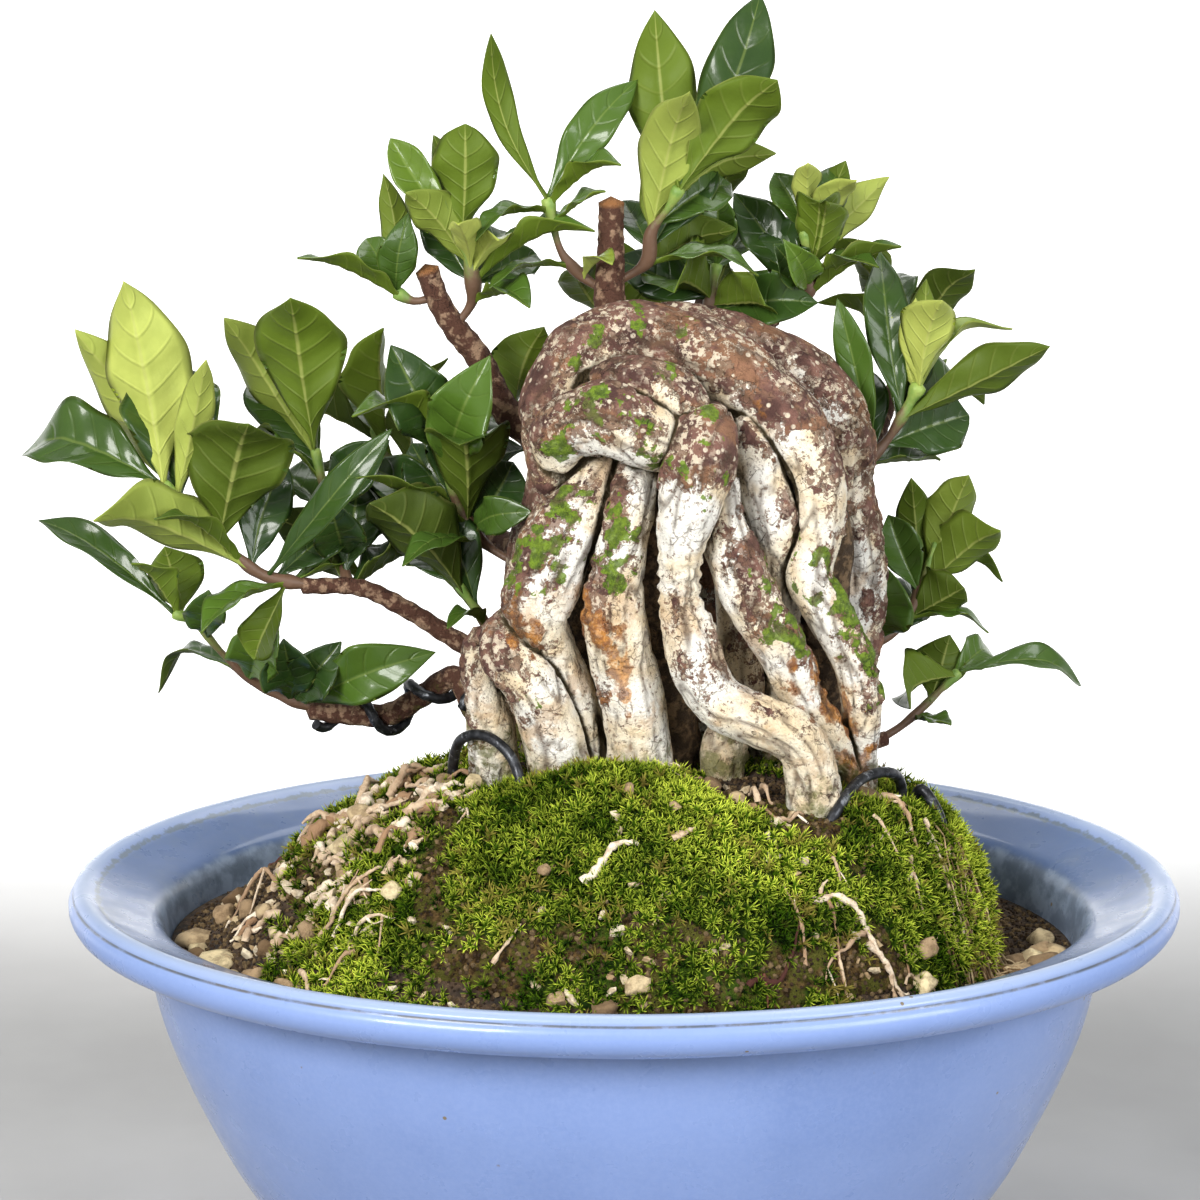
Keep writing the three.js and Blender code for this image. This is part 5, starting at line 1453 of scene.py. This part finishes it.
def mossGround():
    paint = Paint("mossGround", Roughness=0.95, Specular_IOR_Level=0.05)
    _, grain = paint.patches(0.5, 0.0025)
    grain = paint.between(grain, 0.38, 0.62)
    covered, _ = paint.patches(paint.attribute("cover"), 0.002, 1.2, 0.15)
    paint.colour = paint.mix(grain, (0.030, 0.018, 0.008), (0.150, 0.092, 0.036))
    paint.layer(paint.clouds(260, 4, 0.42, 0.6, 0.6), (0.090, 0.090, 0.018))
    paint.layer(covered, paint.mix(grain, (0.012, 0.028, 0.004), (0.050, 0.090, 0.010)))
    # painted shade in the clefts between the tufts
    paint.layer(paint.between(paint.attribute("tuft"), 0.45, 0.0, 0, 0.75), (0.010, 0.009, 0.004))
    paint.bump(paint.noise(1100, 5, 0.7), 1.0, 0.0015)
    paint.bump(paint.noise(380, 4, 0.6), 0.8, 0.002)
    return paint.finish()


asPiece(makeMossMat(), [mossGround()], "moss", "moss")
print("moss mat made")


# Ends a geometry tree: every copy made real, with the material.
def endTree(nodes, end, geometry, material):
    whole = nodes.out("GeometryNodeRealizeInstances", {"Geometry": geometry})
    painted = nodes.out("GeometryNodeSetMaterial", {"Geometry": whole, "Material": material})
    feed(nodes.tree, end.inputs[0], painted)
    return nodes.tree


# A tree that sets copies of a collection's shapes on a surface, more where an attribute is high.
def makeScatterTree():
    nodes, given, end = newTree("scatterOnSurface", "GeometryNodeTree", {
        "Geometry": "Geometry", "Shapes": "Collection", "Spacing": "Float", "Density": "Float",
        "Smallest": "Float", "Largest": "Float", "Lean": "Float", "Seed": "Int", "Material": "Material"},
        {"Geometry": "Geometry"})
    cover = nodes.out("GeometryNodeInputNamedAttribute", {"Name": "cover"}, "Attribute", data_type="FLOAT")
    spread = nodes.add("GeometryNodeDistributePointsOnFaces", {
        "Mesh": given["Geometry"], "Distance Min": given["Spacing"], "Density Max": given["Density"],
        "Density Factor": cover, "Seed": given["Seed"]}, distribute_method="POISSON").outputs
    # each copy leans a little to any side and has any turn
    most = nodes.out("ShaderNodeCombineXYZ", {"X": given["Lean"], "Y": given["Lean"], "Z": 2 * math.pi})
    least = nodes.out("ShaderNodeVectorMath", {0: most, 1: (-1, -1, 0)}, operation="MULTIPLY")
    chance = "FunctionNodeRandomValue"
    spin = nodes.out(chance, {0: least, 1: most, "Seed": given["Seed"]}, data_type="FLOAT_VECTOR")
    turn = nodes.out("FunctionNodeRotateRotation", {"Rotation": spread["Rotation"], 1: spin},
                     rotation_space="LOCAL")
    size = nodes.out(chance, {2: given["Smallest"], 3: given["Largest"], "Seed": given["Seed"]}, 1,
                     data_type="FLOAT")
    shapes = nodes.out("GeometryNodeCollectionInfo", {
        "Collection": given["Shapes"], "Separate Children": True, "Reset Children": True})
    copies = nodes.out("GeometryNodeInstanceOnPoints", {
        "Points": spread["Points"], "Instance": shapes, "Pick Instance": True, "Rotation": turn,
        "Scale": size})
    shade = nodes.out(chance, {"Seed": given["Seed"]}, 1, data_type="FLOAT")
    shaded = nodes.out("GeometryNodeStoreNamedAttribute", {
        "Geometry": copies, "Name": "shade", "Value": shade}, data_type="FLOAT", domain="INSTANCE")
    return endTree(nodes, end, shaded, given["Material"])


scatterTree = makeScatterTree()


def runTree(thing, tree, values):
    modifier = thing.modifiers.new("made", "NODES")
    modifier.node_group = tree
    keys = {item.name: item.identifier for item in tree.interface.items_tree if item.in_out == "INPUT"}
    for name, value in values.items():
        modifier[keys[name]] = value
    return settle(thing)


def scattered(name, base, shapes, material, **values):
    collection = bpy.data.collections.new(name + "Shapes")
    for shape in shapes:
        bpy.context.scene.collection.objects.unlink(shape)
        collection.objects.link(shape)
    thing = runTree(base, scatterTree, {**values, "Shapes": collection, "Material": material})
    for shape in shapes:
        bpy.data.objects.remove(shape)
    bpy.data.collections.remove(collection)
    print(name, len(thing.data.polygons), "faces")
    return thing


# A moss shoot: a star of fine pointed leaves, dark at their feet with painted shade.
def mossShoot(name, height, spikes, seed):
    chance = random.Random(seed)
    shapes = []
    for spike in range(spikes):
        turn = spike * 2.4 + chance.random()
        lean = 0.1 if spike == 0 else chance.uniform(0.45, 1.25)
        start = np.array([0, 0, height * chance.uniform(0.05, 0.45)])
        tip = start + height * chance.uniform(0.5, 0.7) * np.array(
            [math.sin(lean) * math.cos(turn), math.sin(lean) * math.sin(turn), math.cos(lean)])
        base = [start + 0.3 * np.array([math.cos(turn + k * 2.094), math.sin(turn + k * 2.094), -0.3])
                for k in range(3)]
        shapes.append((np.array([*base, tip]), [(0, 1, 3), (1, 2, 3), (2, 0, 3), (2, 1, 0)]))
    shoot = meshObject(name, *joined(shapes), smooth=False)
    setValues(shoot, tall=[0, 0, 0, 1] * spikes)
    return shoot


# The top of the mound as an open sheet for things to stand on.
def groundSheet(name, cover):
    x, y = moundGrid()
    sheet = meshObject(name, asPoints(x, y, groundHeight(x, y)), ringFaces(mound["rings"], mound["turns"]))
    if normalsOf(sheet)[:, 2].mean() < 0:
        sheet.data.flip_normals()
    setValues(sheet, cover=cover(x, y).ravel(), tone=mossTone(x, y).ravel(),
              dry=blobs(x, y, drySpots).ravel())
    return sheet


def mossGreen():
    paint = Paint("mossGreen", Roughness=0.85, Specular_IOR_Level=0.05)
    shade, tall, tone, dry = (paint.attribute(name) for name in ("shade", "tall", "tone", "dry"))
    bright = tone + (shade - 0.5) * 0.55
    body = paint.mix(bright, (0.004, 0.012, 0.001), (0.045, 0.100, 0.002))
    tips = paint.mix(bright, (0.045, 0.105, 0.002), (0.68, 0.78, 0.080))
    # dark low on each spike, a painted shade, and bright at the tips
    paint.colour = paint.mix(paint.between(tall, 0.25, 0.9), body, tips)
    # a few brown shoots, more of them where it is dry
    brown = paint.between(shade + dry * 0.28, 0.965, 0.975)
    paint.layer(brown * paint.between(tall, 0, 1, 0.5, 1), (0.20, 0.15, 0.035))
    return paint.finish()


mossMaterial = mossGreen()


mossShoots = {"heights": (2.3, 3.0, 3.8), "spikes": 9, "seed": 90,
              "scatter": {"Density": 6e6, "Smallest": 0.7, "Largest": 1.25, "Lean": 0.5}}


def makeMossShoots(name, keep, spacing, seed):
    shapes = [mossShoot("shoot" + str(kind), height, mossShoots["spikes"], mossShoots["seed"] + kind)
              for kind, height in enumerate(mossShoots["heights"])]
    sheet = groundSheet(name, lambda x, y: mossCover(x, y) * keep(x, y))
    thing = scattered(name, sheet, shapes, mossMaterial, Spacing=spacing * mm, Seed=seed,
                      **mossShoots["scatter"])
    return asPiece(thing, [mossMaterial], "moss")


makeMossShoots("mossFront", lambda x, y: (y < -20) & (x > -34) & (x < 34), 0.98, 3)
makeMossShoots("mossLeft", lambda x, y: (y < 4) & (x <= -34), 1.0, 4)
makeMossShoots("mossRight", lambda x, y: (y < 8) & (x >= 34), 1.02, 5)
makeMossShoots("mossBack", lambda x, y: ((y >= 4) & (x <= -34)) | ((y >= 8) & (x >= 34))
               | ((y >= -20) & (np.abs(x) < 34)), 1.7, 6)


stoneForm = {"relief": 0.4, "flats": 10, "flatFrom": (0.55, 0.85), "size": 1.2}


def stone(name, seed, levels, sizes):
    work = bmesh.new()
    bmesh.ops.create_icosphere(work, subdivisions=levels, radius=1)
    points = np.array([vertex.co[:] for vertex in work.verts])
    faces = [tuple(vertex.index for vertex in face.verts) for face in work.faces]
    work.free()
    points *= (1 + stoneForm["relief"] * roughNoise(points + seed, 1.0, levels + 1, seed))[:, None]
    # broken flat on several sides
    chance = random.Random(seed)
    for _ in range(stoneForm["flats"]):
        way = unit(np.array([chance.gauss(0, 1) for _ in range(3)]))
        points -= np.clip(points @ way - chance.uniform(*stoneForm["flatFrom"]), 0, None)[:, None] * way
    return meshObject(name, points * np.array(sizes) * stoneForm["size"], faces, smooth=False)


# dark, middle and pale tone of each, and the scale of its grain
gritTones = {
    "soilCrumbs": ((0.010, 0.006, 0.003), (0.048, 0.026, 0.012), (0.20, 0.135, 0.065), 900),
    "paleDebris": ((0.26, 0.16, 0.08), (0.50, 0.38, 0.21), (0.72, 0.63, 0.46), 500),
    "deadRoot": ((0.30, 0.18, 0.10), (0.62, 0.48, 0.33), (0.86, 0.76, 0.60), 420),
    "fibres": ((0.10, 0.055, 0.025), (0.30, 0.19, 0.09), (0.62, 0.48, 0.28), 420),
    "redTwig": ((0.060, 0.020, 0.014), (0.17, 0.055, 0.035), (0.22, 0.12, 0.06), 420),
    "stones": ((0.13, 0.08, 0.04), (0.38, 0.265, 0.15), (0.72, 0.60, 0.36), 330),
}


def gritMaterial(name):
    *tones, scale = gritTones[name]
    paint = Paint(name, Roughness=0.9, Specular_IOR_Level=0.25)
    shade = paint.attribute("shade")
    paint.colour = paint.mix(paint.between(shade, 0.0, 0.55), tones[0], tones[1])
    paint.layer(paint.between(shade, 0.5, 0.95), tones[2])
    paint.layer(paint.clouds(scale, 5, 0.4, 0.62, 0.7) * 0.6, tones[0])
    paint.bump(paint.noise(scale * 1.5, 5, 0.7), 0.8, 0.0008)
    paint.bump(paint.noise(2000, 3), 0.4, 0.0003)
    return paint.finish()


def crumbCover(x, y):
    bare = 1 - 0.92 * np.clip(mossCover(x, y), 0, 1)
    return bare * smoothStep(0.992, 0.97, shareToWall(x, y))


# where pale chips lie, in the form of the moss's spots
paleSpots = [(-64, -26, 30, 34, 1.0), (48, -50, 24, 14, 0.4), (0, -68, 40, 8, 0.3), (24, -25, 16, 9, 0.4)]


def debrisCover(x, y):
    return (0.05 + 0.6 * blobs(x, y, paleSpots)) * smoothStep(0.99, 0.97, shareToWall(x, y))


def scatterGrit(name, cover, seed, sizes, **values):
    material = gritMaterial(name)
    shapes = [stone(name + str(kind), seed + kind, 1, sizes) for kind in range(4)]
    grit = scattered(name, groundSheet(name, cover), shapes, material, Lean=3.0, **values)
    asPiece(grit, [material], "soil")


scatterGrit("soilCrumbs", crumbCover, 7, (1, 0.85, 0.75),
            Spacing=0.9 * mm, Density=1.4e6, Smallest=0.25, Largest=0.9, Seed=9)
scatterGrit("paleDebris", debrisCover, 17, (1.3, 0.8, 0.5),
            Spacing=1.6 * mm, Density=9e4, Smallest=0.45, Largest=1.9, Seed=12)
print("scattered pieces made")


# stones, dead roots and twigs on the mound
litter = {
    "stoneSides": (0.95, 0.75, 0.68),
    "overMoss": 1.5,
    # stones: x, y, size
    "stones": [(-96.6, -8, 4.4), (-90.5, -28, 5.4), (-91.5, -33, 3.4), (-84, -12, 3.0), (-85.8, -35.5, 3.0),
               (-78.7, -32.5, 2.6), (-80, -41, 3.6), (-76.6, -30, 2.2), (-94, -23, 4.4), (-73.2, -49, 3.0),
               (-83.5, -43.5, 3.4), (-90, -4, 3.0), (-88, 4, 3.4), (-80, -20, 2.6), (-95, -15, 2.6),
               (86, -33, 3.0), (90.5, -13, 3.6), (94.5, -8, 3.6), (87.5, -22, 3.4), (94, -18, 4.4),
               (90.5, -27.5, 4.2), (85, -38, 3.4), (97, -10, 3.8), (94, -24, 2.8), (95, 6, 3.2),
               (88, -14, 3.4), (13.3, -18.5, 3.0), (19.1, -25, 2.6), (24.6, -30, 2.2), (0.6, -41, 1.7),
               (53.5, -18.5, 4.6), (-4.8, -75, 3.3), (2, -73.5, 3.0), (-14.8, -73, 2.6), (68.3, -54, 2.8),
               (64.2, -49.5, 3.6), (65.1, -45, 3.0), (49.5, -64, 2.4), (52, -63, 1.8), (-17.1, -54.5, 1.9),
               (-50.5, -45.5, 2.8), (-57.3, -40.5, 2.2), (-61, -33, 2.2), (-58, -12, 3.6), (-62, -21, 3.8),
               (-40, -10, 2.6), (-33, -16, 2.4), (10.6, -46, 1.6), (-69, -38, 3.0), (-30, 69, 3.0),
               (30, 68, 3.0), (60, 50, 3.2), (-66, 46, 3.0)],
    # pale dead roots: x, y, heading in degrees, length, radius, height of its arch, side roots
    "deadRoots": [(-71, -8, 10, 10, 2.1, 1.0, 3), (-66, -4, 150, 8, 0.9, 4.5, 5),
                  (-76, -13, 170, 14, 0.65, 6, 6), (-60, 2, 60, 12, 0.9, 5, 4), (-62, -14, 0, 16, 0.95, 2, 5),
                  (-53, -4, 20, 18, 1.0, 3, 4), (-57, -22, -50, 14, 1.1, 1.5, 4),
                  (-66, -22, -70, 10, 0.8, 2, 3), (-46, -12, -30, 13, 1.2, 1.5, 3),
                  (-48, -24, 10, 9, 1.0, 1.5, 3), (-40, -18, -60, 9, 0.8, 1, 2),
                  (-69, -31, -10, 8, 1.3, 0.5, 0), (-66, -42, 0, 17, 0.55, 3, 3),
                  (-63, -44, 30, 14, 0.5, 4, 2), (-60, -47, -20, 12, 0.5, 2.5, 3),
                  (-58, -50, 200, 8, 0.55, 2, 1), (-70, -47, -80, 7, 0.7, 1, 0), (-54, -33, 40, 8, 0.7, 2, 2),
                  (-36, -27, -80, 8, 0.5, 1, 1), (-33, -10, 160, 9, 0.7, 2, 2), (-80, -19, 200, 8, 0.6, 2, 2),
                  (-9, -57, 5, 13, 1.1, 1.0, 0), (10, -53, 0, 6, 0.8, 0.8, 0), (26, -34, -20, 9, 0.8, 1.0, 1),
                  (33, -36, 20, 9, 0.6, 1.2, 1), (29, -28, 100, 6, 0.7, 2, 1), (40, -54, 14, 22, 0.8, 1.4, 3),
                  (51, -53, -130, 14, 0.6, 1.2, 3), (51.5, -54, -5, 10, 0.7, 0.8, 0),
                  (56, -20, -40, 9, 0.75, 1.0, 2), (60, -22, -60, 11, 0.6, 0.8, 3),
                  (66, -22, -70, 10, 0.5, 0.8, 2), (54, -32, -30, 8, 0.45, 0.6, 2),
                  (62, -34, -70, 8, 0.45, 0.6, 2), (48, -26, -120, 7, 0.4, 0.6, 1),
                  (70, -28, -70, 9, 0.4, 0.6, 2), (44, -44, -70, 7, 0.4, 0.6, 1),
                  (-28, -66, 30, 7, 0.5, 0.6, 0), (38, -63, 100, 10, 0.45, 1.0, 1),
                  (60, -52, 60, 9, 0.5, 0.8, 1), (-1, -12, -60, 22, 0.3, 2.0, 1),
                  (6, -17, -30, 12, 0.3, 1.5, 1), (18, -20, -100, 8, 0.4, 1.5, 1),
                  (30, -22, -80, 7, 0.8, 3.0, 0)],
    # red-brown twigs, in the same form
    "twigs": [(25.6, -70.5, 30, 19, 0.7, 0.6, 0), (29, -68, -70, 6, 0.4, 0.6, 0),
              (-82, 16, 80, 14, 0.6, 1.0, 1)],
    # fine hanging fibres on the right slope: how many, the middle and reach of where they start, length,
    # radius and height of their arch
    "fibres": (90, (76, -32), (8, 17), 17, 0.27, 2.2),
    "fibreLimit": 0.93,
    # short thick bits on the left flank: how many, the middle and reach of where they lie, length and radius
    "bits": (46, (-62, -20), (22, 24), (2.5, 8), (0.7, 1.5)),
    "seed": 21,
    "sides": 9,
    "fibreSides": 6,
    "step": 0.7,
}


def onGround(x, y, lift):
    return np.stack([x, y, groundHeight(x, y) + lift + litter["overMoss"] * mossCover(x, y)], axis=1)


# A root creeping over the ground, and the side roots that leave it.
def creepingRoot(x, y, heading, length, radius, arch, sideRoots, chance):
    step = litter["step"]
    count = max(4, int(length / step))
    turn = math.radians(heading)
    bend = chance.uniform(-0.02, 0.02)
    xs, ys, headings = [x], [y], [turn]
    for _ in range(count):
        if shareToWall(xs[-1], ys[-1]) > 0.97:
            break
        bend = 0.8 * bend + chance.uniform(-0.11, 0.11) - 0.05 * (turn - math.radians(heading))
        turn += bend
        xs.append(xs[-1] + step * math.cos(turn))
        ys.append(ys[-1] + step * math.sin(turn))
        headings.append(turn)
    t = np.linspace(0, 1, len(xs))
    wobble = np.array([chance.uniform(-0.25, 0.25) for _ in t]) * radius
    lift = radius * 0.3 + arch * np.sin(np.pi * np.clip(t * 1.15, 0, 1)) + wobble
    knobs = np.array([chance.uniform(0.65, 1.4) for _ in t])
    line = np.column_stack([onGround(np.array(xs), np.array(ys), lift), radius * knobs * (1 - 0.6 * t)])
    lines = [line]
    for _ in range(sideRoots):
        at = chance.randrange(1, max(2, len(xs) - 1))
        side = chance.choice((-1, 1)) * chance.uniform(35, 80)
        branch = creepingRoot(xs[at], ys[at], math.degrees(headings[at]) + side,
                              length * chance.uniform(0.2, 0.45), radius * 0.6, 0, 0, chance)[0]
        drop = line[at, 2] - branch[0, 2]
        branch[:, 2] += drop * np.linspace(1, chance.uniform(0, 1.3), len(branch))
        lines.append(branch)
    return lines


# A tree that makes a closed round tube of given thickness along a line.
def makeTubeTree():
    nodes, given, end = newTree("tubeAlongLine", "GeometryNodeTree", {
        "Geometry": "Geometry", "Sides": "Int", "Material": "Material"}, {"Geometry": "Geometry"})
    thickness = nodes.out("GeometryNodeInputNamedAttribute", {"Name": "thickness"}, "Attribute",
                          data_type="FLOAT")
    curve = nodes.out("GeometryNodeMeshToCurve", {"Mesh": given["Geometry"]})
    sized = nodes.out("GeometryNodeSetCurveRadius", {"Curve": curve, "Radius": thickness})
    ring = nodes.out("GeometryNodeCurvePrimitiveCircle", {"Resolution": given["Sides"], "Radius": 1.0})
    skin = nodes.add("GeometryNodeCurveToMesh", {"Curve": sized, "Profile Curve": ring, "Fill Caps": True})
    if "Scale" in skin.inputs:
        feed(nodes.tree, skin.inputs["Scale"], thickness)
    smooth = nodes.out("GeometryNodeSetShadeSmooth", {"Geometry": skin.outputs[0]})
    return endTree(nodes, end, smooth, given["Material"])


tubeTree = makeTubeTree()


# Tubes along lines of (x, y, z, radius), as one object, each with its own shade.
def tubesAlong(name, lines, sides, material):
    points = np.vstack(lines)
    edges, shade, shift = [], [], 0
    for place, line in enumerate(lines):
        edges += [(shift + at, shift + at + 1) for at in range(len(line) - 1)]
        shade += [(place * 0.618) % 1] * len(line)
        shift += len(line)
    mesh = bpy.data.meshes.new(name)
    mesh.from_pydata((points[:, :3] * mm).tolist(), edges, [])
    thing = newObject(name, mesh)
    setValues(thing, thickness=points[:, 3] * mm, shade=shade)
    return facesOutward(runTree(thing, tubeTree, {"Sides": sides, "Material": material}))


rootMaterial, fibreMaterial, twigMaterial, stoneMaterial = (
    gritMaterial(name) for name in ("deadRoot", "fibres", "redTwig", "stones"))


def spotIn(middle, reach, chance):
    return [middle[axis] + reach[axis] * chance.uniform(-1, 1) for axis in (0, 1)]


def makeLitter():
    chance = random.Random(litter["seed"])
    lines = [line for values in litter["deadRoots"] for line in creepingRoot(*values, chance)]
    count, middle, reach, lengths, radii = litter["bits"]
    for _ in range(count):
        lines += creepingRoot(*spotIn(middle, reach, chance), chance.uniform(0, 360),
                              chance.uniform(*lengths), chance.uniform(*radii), chance.uniform(0, 1.5),
                              chance.choice((0, 0, 1, 2)), chance)
    asPiece(tubesAlong("deadRoots", lines, litter["sides"], rootMaterial), [rootMaterial], "bark")
    lines = [line for values in litter["twigs"] for line in creepingRoot(*values, chance)]
    asPiece(tubesAlong("twigs", lines, litter["sides"], twigMaterial), [twigMaterial], "bark")
    count, middle, reach, length, radius, arch = litter["fibres"]
    lines = []
    for _ in range(count):
        x, y = spotIn(middle, reach, chance)
        heading = math.degrees(math.atan2(y + 2, x - 8)) + chance.uniform(-35, 10)
        if shareToWall(x, y) < litter["fibreLimit"]:
            lines += creepingRoot(x, y, heading, length * chance.uniform(0.5, 1), radius, arch, 1, chance)
    asPiece(tubesAlong("slopeFibres", lines, litter["fibreSides"], fibreMaterial), [fibreMaterial], "bark")
    stones, shades = [], []
    for seed, (x, y, size) in enumerate(litter["stones"]):
        thing = stone("stone", 30 + seed, 3, np.array(litter["stoneSides"]) * size)
        turn = chance.uniform(0, 6)
        points = placesOf(thing)
        cosine, sine = math.cos(turn), math.sin(turn)
        turned = points @ np.array([[cosine, sine, 0], [-sine, cosine, 0], [0, 0, 1]])
        height = onGround(np.array([x]), np.array([y]), 0.35 * size - 0.3)[0, 2]
        faces = [tuple(face.vertices) for face in thing.data.polygons]
        stones.append((turned + np.array([x, y, height]), faces))
        shades.append(np.full(len(points), chance.random()))
        bpy.data.objects.remove(thing)
    pebbles = meshObject("pebbles", *joined(stones))
    setValues(pebbles, shade=np.concatenate(shades))
    asPiece(pebbles, [stoneMaterial], "soil")


makeLitter()
print("litter made")


# the wires
wireShape = {"radius": 1.2, "boughPitch": 15, "boughFrom": 0.3, "boughTo": 0.97, "stepsPerTurn": 24,
             "gap": 0.25, "sides": 14}

tieWires = {
    "wire_left": [(-38, -3, 116), (-38, -9, 131), (-35.5, -15.5, 138), (-30.5, -19.5, 139.5),
                  (-25, -23.5, 136), (-22.5, -26.5, 129), (-22, -28, 117)],
    "wire_right": [(41, -34, 106), (42, -34, 119), (46, -32, 126), (52, -21, 130), (58, -15, 130),
                   (61.5, -9, 126), (62, -6, 112)],
    "wire_right_end": [(64.5, -3, 108), (65, -5, 121), (66.5, -7.5, 124), (69, -9, 121), (71, -10, 116),
                       (72, -11, 102)],
}


def boughWireLine():
    route = np.array(boughs["low"])
    line = smoothRoute(route[:, :3], 0.4)
    lengths = np.append(0, np.cumsum(np.linalg.norm(np.diff(line, axis=0), axis=1)))
    run = lengths[-1] * (wireShape["boughTo"] - wireShape["boughFrom"])
    count = round(run / wireShape["boughPitch"] * wireShape["stepsPerTurn"])
    keyRadius = route[:, 3]
    result = []
    for step in range(count + 1):
        share = wireShape["boughFrom"] + (wireShape["boughTo"] - wireShape["boughFrom"]) * step / count
        at = np.searchsorted(lengths, share * lengths[-1])
        at = int(np.clip(at, 1, len(line) - 2))
        along = unit(line[at + 1] - line[at - 1])
        sideways = unit(np.cross((0, 0, 1), along))
        upward = np.cross(along, sideways)
        radius = (np.interp(share * (len(route) - 1), range(len(route)), keyRadius) + wireShape["radius"]
                  + wireShape["gap"])
        turn = step / wireShape["stepsPerTurn"] * 2 * math.pi
        place = line[at] + sideways * radius * math.cos(turn) + upward * radius * math.sin(turn)
        result.append((*place, wireShape["radius"]))
    return np.array(result)


def wireMaterial():
    paint = Paint("darkWire", Metallic=0.75, Roughness=0.42)
    worn, _ = paint.patches(0.32, 0.0025, 1.4, 0.1)
    paint.colour = paint.mix(paint.clouds(500, 4, 0.35, 0.65), (0.020, 0.021, 0.024), (0.055, 0.058, 0.065))
    paint.layer(worn, (0.30, 0.32, 0.35))
    paint.give("Roughness", paint.clouds(700, 3, 0.3, 0.7, to=(0.3, 0.6)))
    paint.bump(paint.noise(900, 4), 0.35, 0.0003)
    return paint.finish()


darkWire = wireMaterial()
for name, route in tieWires.items():
    line = smoothRoute([(*place, wireShape["radius"]) for place in route], 1.0)
    asPiece(tubesAlong("tie_" + name, [line], wireShape["sides"], darkWire), [darkWire], "wire", name)
trainingWire = tubesAlong("trainingWire", [boughWireLine()], wireShape["sides"], darkWire)
asPiece(trainingWire, [darkWire], "wire", "wire_bough")
print("wires made")
